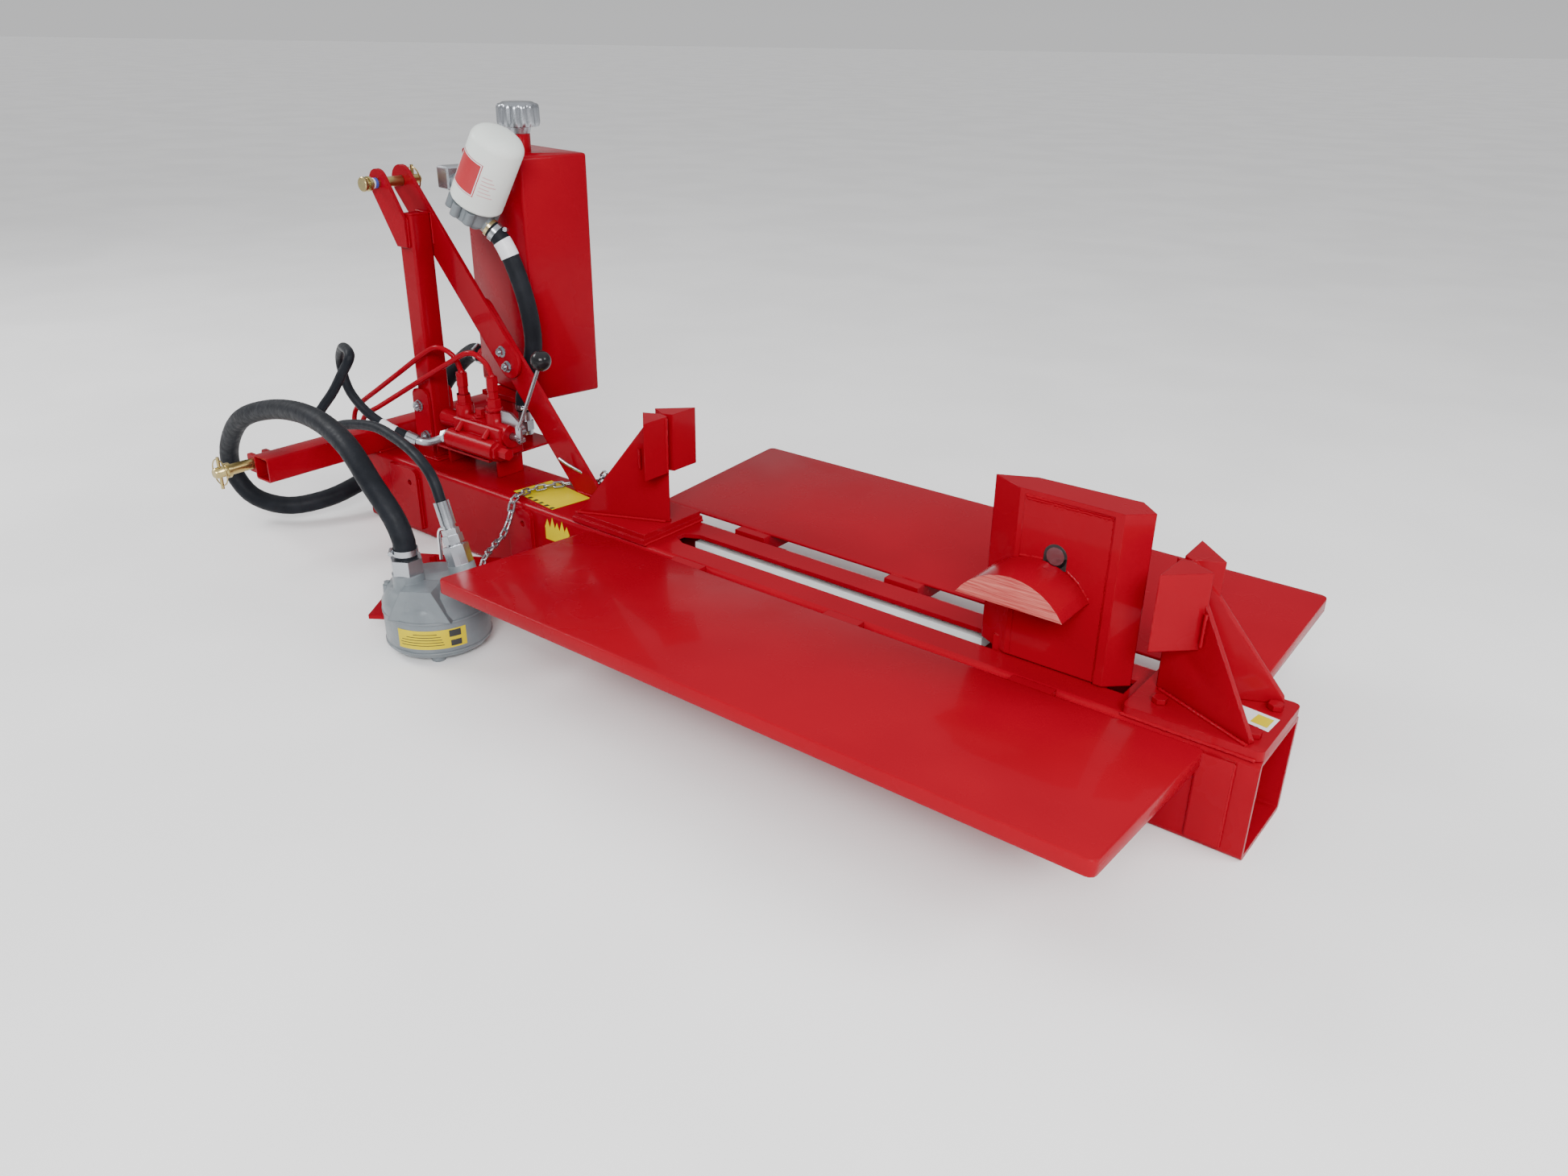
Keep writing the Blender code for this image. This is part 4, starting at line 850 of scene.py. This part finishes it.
# plain decals in place of the maker's own
sheet_patch("beam_top_sticker", "frame", YELLOW, [
    (-0.690, -0.060, 0.2003), (-0.520, -0.084, 0.2003), (-0.505, 0.030, 0.2003), (-0.675, 0.054, 0.2003),
])
for number in range(7):
    start = -0.676 + number * 0.0235
    sheet_patch(f"beam_top_bar_{number}", "frame", BLACK_PRINT_AND_SHADE, [
        (start, -0.0615 - number * 0.0033, 0.2005), (start + 0.010, -0.0630 - number * 0.0033, 0.2005),
        (start + 0.013, -0.052 - number * 0.0033, 0.2005), (start + 0.003, -0.0505 - number * 0.0033, 0.2005),
    ])
sheet_patch("beam_side_sticker", "frame", YELLOW, [
    (-0.530, -0.1003, 0.128), (-0.445, -0.1003, 0.128), (-0.445, -0.1003, 0.160), (-0.530, -0.1003, 0.160),
])
FLAMES = ((-0.522, 0.182), (-0.504, 0.190), (-0.488, 0.180), (-0.470, 0.188), (-0.454, 0.178))
for number, (x, top) in enumerate(FLAMES):
    shape = bmesh.new()
    spots = [(x - 0.010, -0.1006, 0.158), (x + 0.010, -0.1006, 0.158), (x + 0.001, -0.1006, top)]
    shape.faces.new([shape.verts.new(spot) for spot in spots])
    finish_piece(keep(shape, f"beam_side_flame_{number}"), "frame", YELLOW)
sheet_patch("wedge_sticker", "frame", BAND, [
    (1.112, -0.016, 0.2203), (1.184, -0.030, 0.2203), (1.187, 0.022, 0.2203), (1.120, 0.030, 0.2203),
])
sheet_patch("wedge_sticker_mark", "frame", YELLOW, [
    (1.148, -0.014, 0.2205), (1.178, -0.019, 0.2205), (1.180, 0.014, 0.2205), (1.152, 0.018, 0.2205),
])
for name, material, start, end in (
    ("top_pin_tape", LABEL_BLUE, -0.0440, -0.0520), ("top_pin_tape_white", BAND, -0.0520, -0.0560),
):
    solid(name, "top_pin", material, [("rod", (-1.138, start, 0.905), (-1.138, end, 0.905), 0.0130, 32)])

# seams
weld_lines("blade_welds", "carriage", [
    [(0.702, -0.0320, 0.5265), (0.871, -0.0320, 0.5265)],
    [(0.704, -0.0310, 0.5215), (0.869, -0.0310, 0.5215)],
    [(0.710, -0.0300, 0.5165), (0.860, -0.0300, 0.5165)],
    [(0.872, -0.0320, 0.205), (0.872, -0.0320, 0.524)],
    [(0.637, -0.0060, 0.354), (0.690, -0.0350, 0.355), (0.702, -0.0320, 0.355), (0.842, -0.0320, 0.355)],
    [(0.700, -0.0310, 0.409), (0.748, -0.0310, 0.4145)],
    [(0.794, -0.0310, 0.404), (0.820, -0.0310, 0.386), (0.843, -0.0310, 0.358)],
], 0.0036)
weld_lines("wedge_welds", "frame", [
    [(-0.212, -0.008, 0.227), (-0.412, -0.098, 0.227)],
    [(-0.212, 0.008, 0.227), (-0.412, 0.098, 0.227)],
    [(-0.198, -0.012, 0.352), (-0.198, -0.012, 0.480)],
    [(-0.264, -0.034, 0.352), (-0.264, -0.034, 0.400)],
    [(-0.430, -0.0985, 0.2015), (-0.430, 0.0985, 0.2015)],
    [(-0.195, -0.0985, 0.2015), (-0.195, 0.0985, 0.2015)],
    [(0.985, -0.010, 0.222), (1.170, -0.097, 0.222)],
    [(0.985, 0.010, 0.222), (1.170, 0.097, 0.222)],
    [(1.052, -0.040, 0.340), (1.052, -0.040, 0.402)],
    [(1.020, -0.028, 0.405), (1.020, -0.028, 0.440)],
    [(0.955, -0.098, 0.2015), (1.190, -0.1005, 0.2015)],
])
weld_lines("mast_welds", "frame", [
    [(-1.092, -0.031, 0.212), (-1.031, -0.031, 0.212)],
    [(-1.092, 0.031, 0.212), (-1.031, 0.031, 0.212)],
    [(-1.031, -0.031, 0.212), (-1.031, 0.031, 0.212)],
    [(-1.116, -0.041, 0.202), (-1.019, -0.041, 0.202), (-1.019, 0.041, 0.202)],
    [(-1.086, -0.0315, 0.757), (-1.045, -0.0315, 0.757), (-1.045, -0.0315, 0.830)],
    [(-1.031, 0.0300, 0.760), (-1.031, 0.0300, 0.838)],
    [(-1.088, -0.027, 0.8365), (-1.035, -0.027, 0.8365), (-1.034, 0.027, 0.8365), (-1.088, 0.027, 0.8365)],
    [(-1.266, -0.098, 0.2015), (-1.266, 0.098, 0.2015)],
    [(-1.199, -0.098, 0.2015), (-1.199, 0.098, 0.2015)],
    [(-0.565, 0.0406, 0.2015), (-0.470, 0.0406, 0.2015)],
    [(-1.142, -0.1015, 0.022), (-1.142, -0.1015, 0.186)],
    [(-1.029, -0.1015, 0.022), (-1.029, -0.1015, 0.165)],
    [(-0.659, -0.1015, 0.022), (-0.659, -0.1015, 0.186)],
    [(-0.574, -0.1015, 0.022), (-0.574, -0.1015, 0.165)],
    [(1.100, -0.1025, 0.016), (1.100, -0.1025, 0.184)],
    [(1.160, -0.1025, 0.016), (1.160, -0.1025, 0.184)],
], 0.0030)

# painted shade: a black disc and strip on the blade round each end of the cross pin, for the shade in the
# keyhole slot; and the pin's bare end face
EYE_X, EYE_Z = 0.771, 0.426
for side, name in ((-1, "near"), (1, "far")):
    low, high = sorted((side * 0.0331, side * 0.0341))
    solid(f"eye_painted_shade_{name}", "carriage", BLACK_PRINT_AND_SHADE, [
        ("rod", (EYE_X, side * 0.0331, EYE_Z), (EYE_X, side * 0.0341, EYE_Z), 0.0228, 40),
        ("box", (EYE_X - 0.0228, low, 0.402), (EYE_X + 0.0228, high, EYE_Z)),
    ])
    solid(f"eye_pin_face_{name}", "carriage", ZINC, [
        ("rod", (EYE_X, side * 0.0338, EYE_Z), (EYE_X, side * 0.0346, EYE_Z), 0.0172, 40),
    ])

# ---------------------------------------------------------------- stage and light

WORLD_STOPS = ((0.0, 0.64), (0.06, 0.58), (0.22, 0.42), (0.45, 0.50), (0.75, 0.95), (1.0, 1.08))
LAMPS = (
    ("key", (3.0, -3.8, 3.2), 3.0, 380, (0, 0, 0.3)),
    ("side", (-4.4, -1.6, 3.4), 2.2, 150, (-0.6, 0, 0.4)),
    ("right", (4.6, 1.2, 3.4), 2.2, 120, (0.6, 0, 0.3)),
)


def make_floor():
    shape = bmesh.new()
    bmesh.ops.create_grid(shape, x_segments=2, y_segments=2, size=120.0)
    floor = keep(shape, "floor")
    s = Shader("pale_floor")
    s.set(Base_Color=s.mix(s.ramp(s.noise(1.5, 2.0), 0.4, 0.6), (0.86, 0.86, 0.86), (0.90, 0.90, 0.90)))
    s.set(Roughness=0.75, Specular_IOR_Level=0.1)
    floor.data.materials.append(s.material)
    floor.location.z = -0.0006


def make_world():
    """Soft light from all round, brightest overhead."""
    world = bpy.data.worlds.new("studio")
    bpy.context.scene.world = world
    world.use_nodes = True
    tree = world.node_tree
    coordinate = tree.nodes.new("ShaderNodeTexCoord")
    split = tree.nodes.new("ShaderNodeSeparateXYZ")
    tree.links.new(coordinate.outputs["Generated"], split.inputs["Vector"])
    blend = tree.nodes.new("ShaderNodeValToRGB")
    ramp = blend.color_ramp
    while len(ramp.elements) < len(WORLD_STOPS):
        ramp.elements.new(0.5)
    for element, (place, value) in zip(ramp.elements, WORLD_STOPS):
        element.position = place
        element.color = (value, value, value * 1.01, 1)
    tree.links.new(split.outputs["Z"], blend.inputs["Fac"])
    background = tree.nodes["Background"]
    tree.links.new(blend.outputs["Color"], background.inputs["Color"])
    background.inputs["Strength"].default_value = 1.0


def make_lamps():
    for name, place, size, power, target in LAMPS:
        lamp = bpy.data.lights.new(name, "AREA")
        lamp.shape = "RECTANGLE"
        lamp.size, lamp.size_y = size, size * 0.6
        lamp.energy = power
        made = bpy.data.objects.new(name, lamp)
        made.matrix_world = aim(place, Vector(place) - Vector(target))
        bpy.context.scene.collection.objects.link(made)


make_floor()
make_world()
make_lamps()
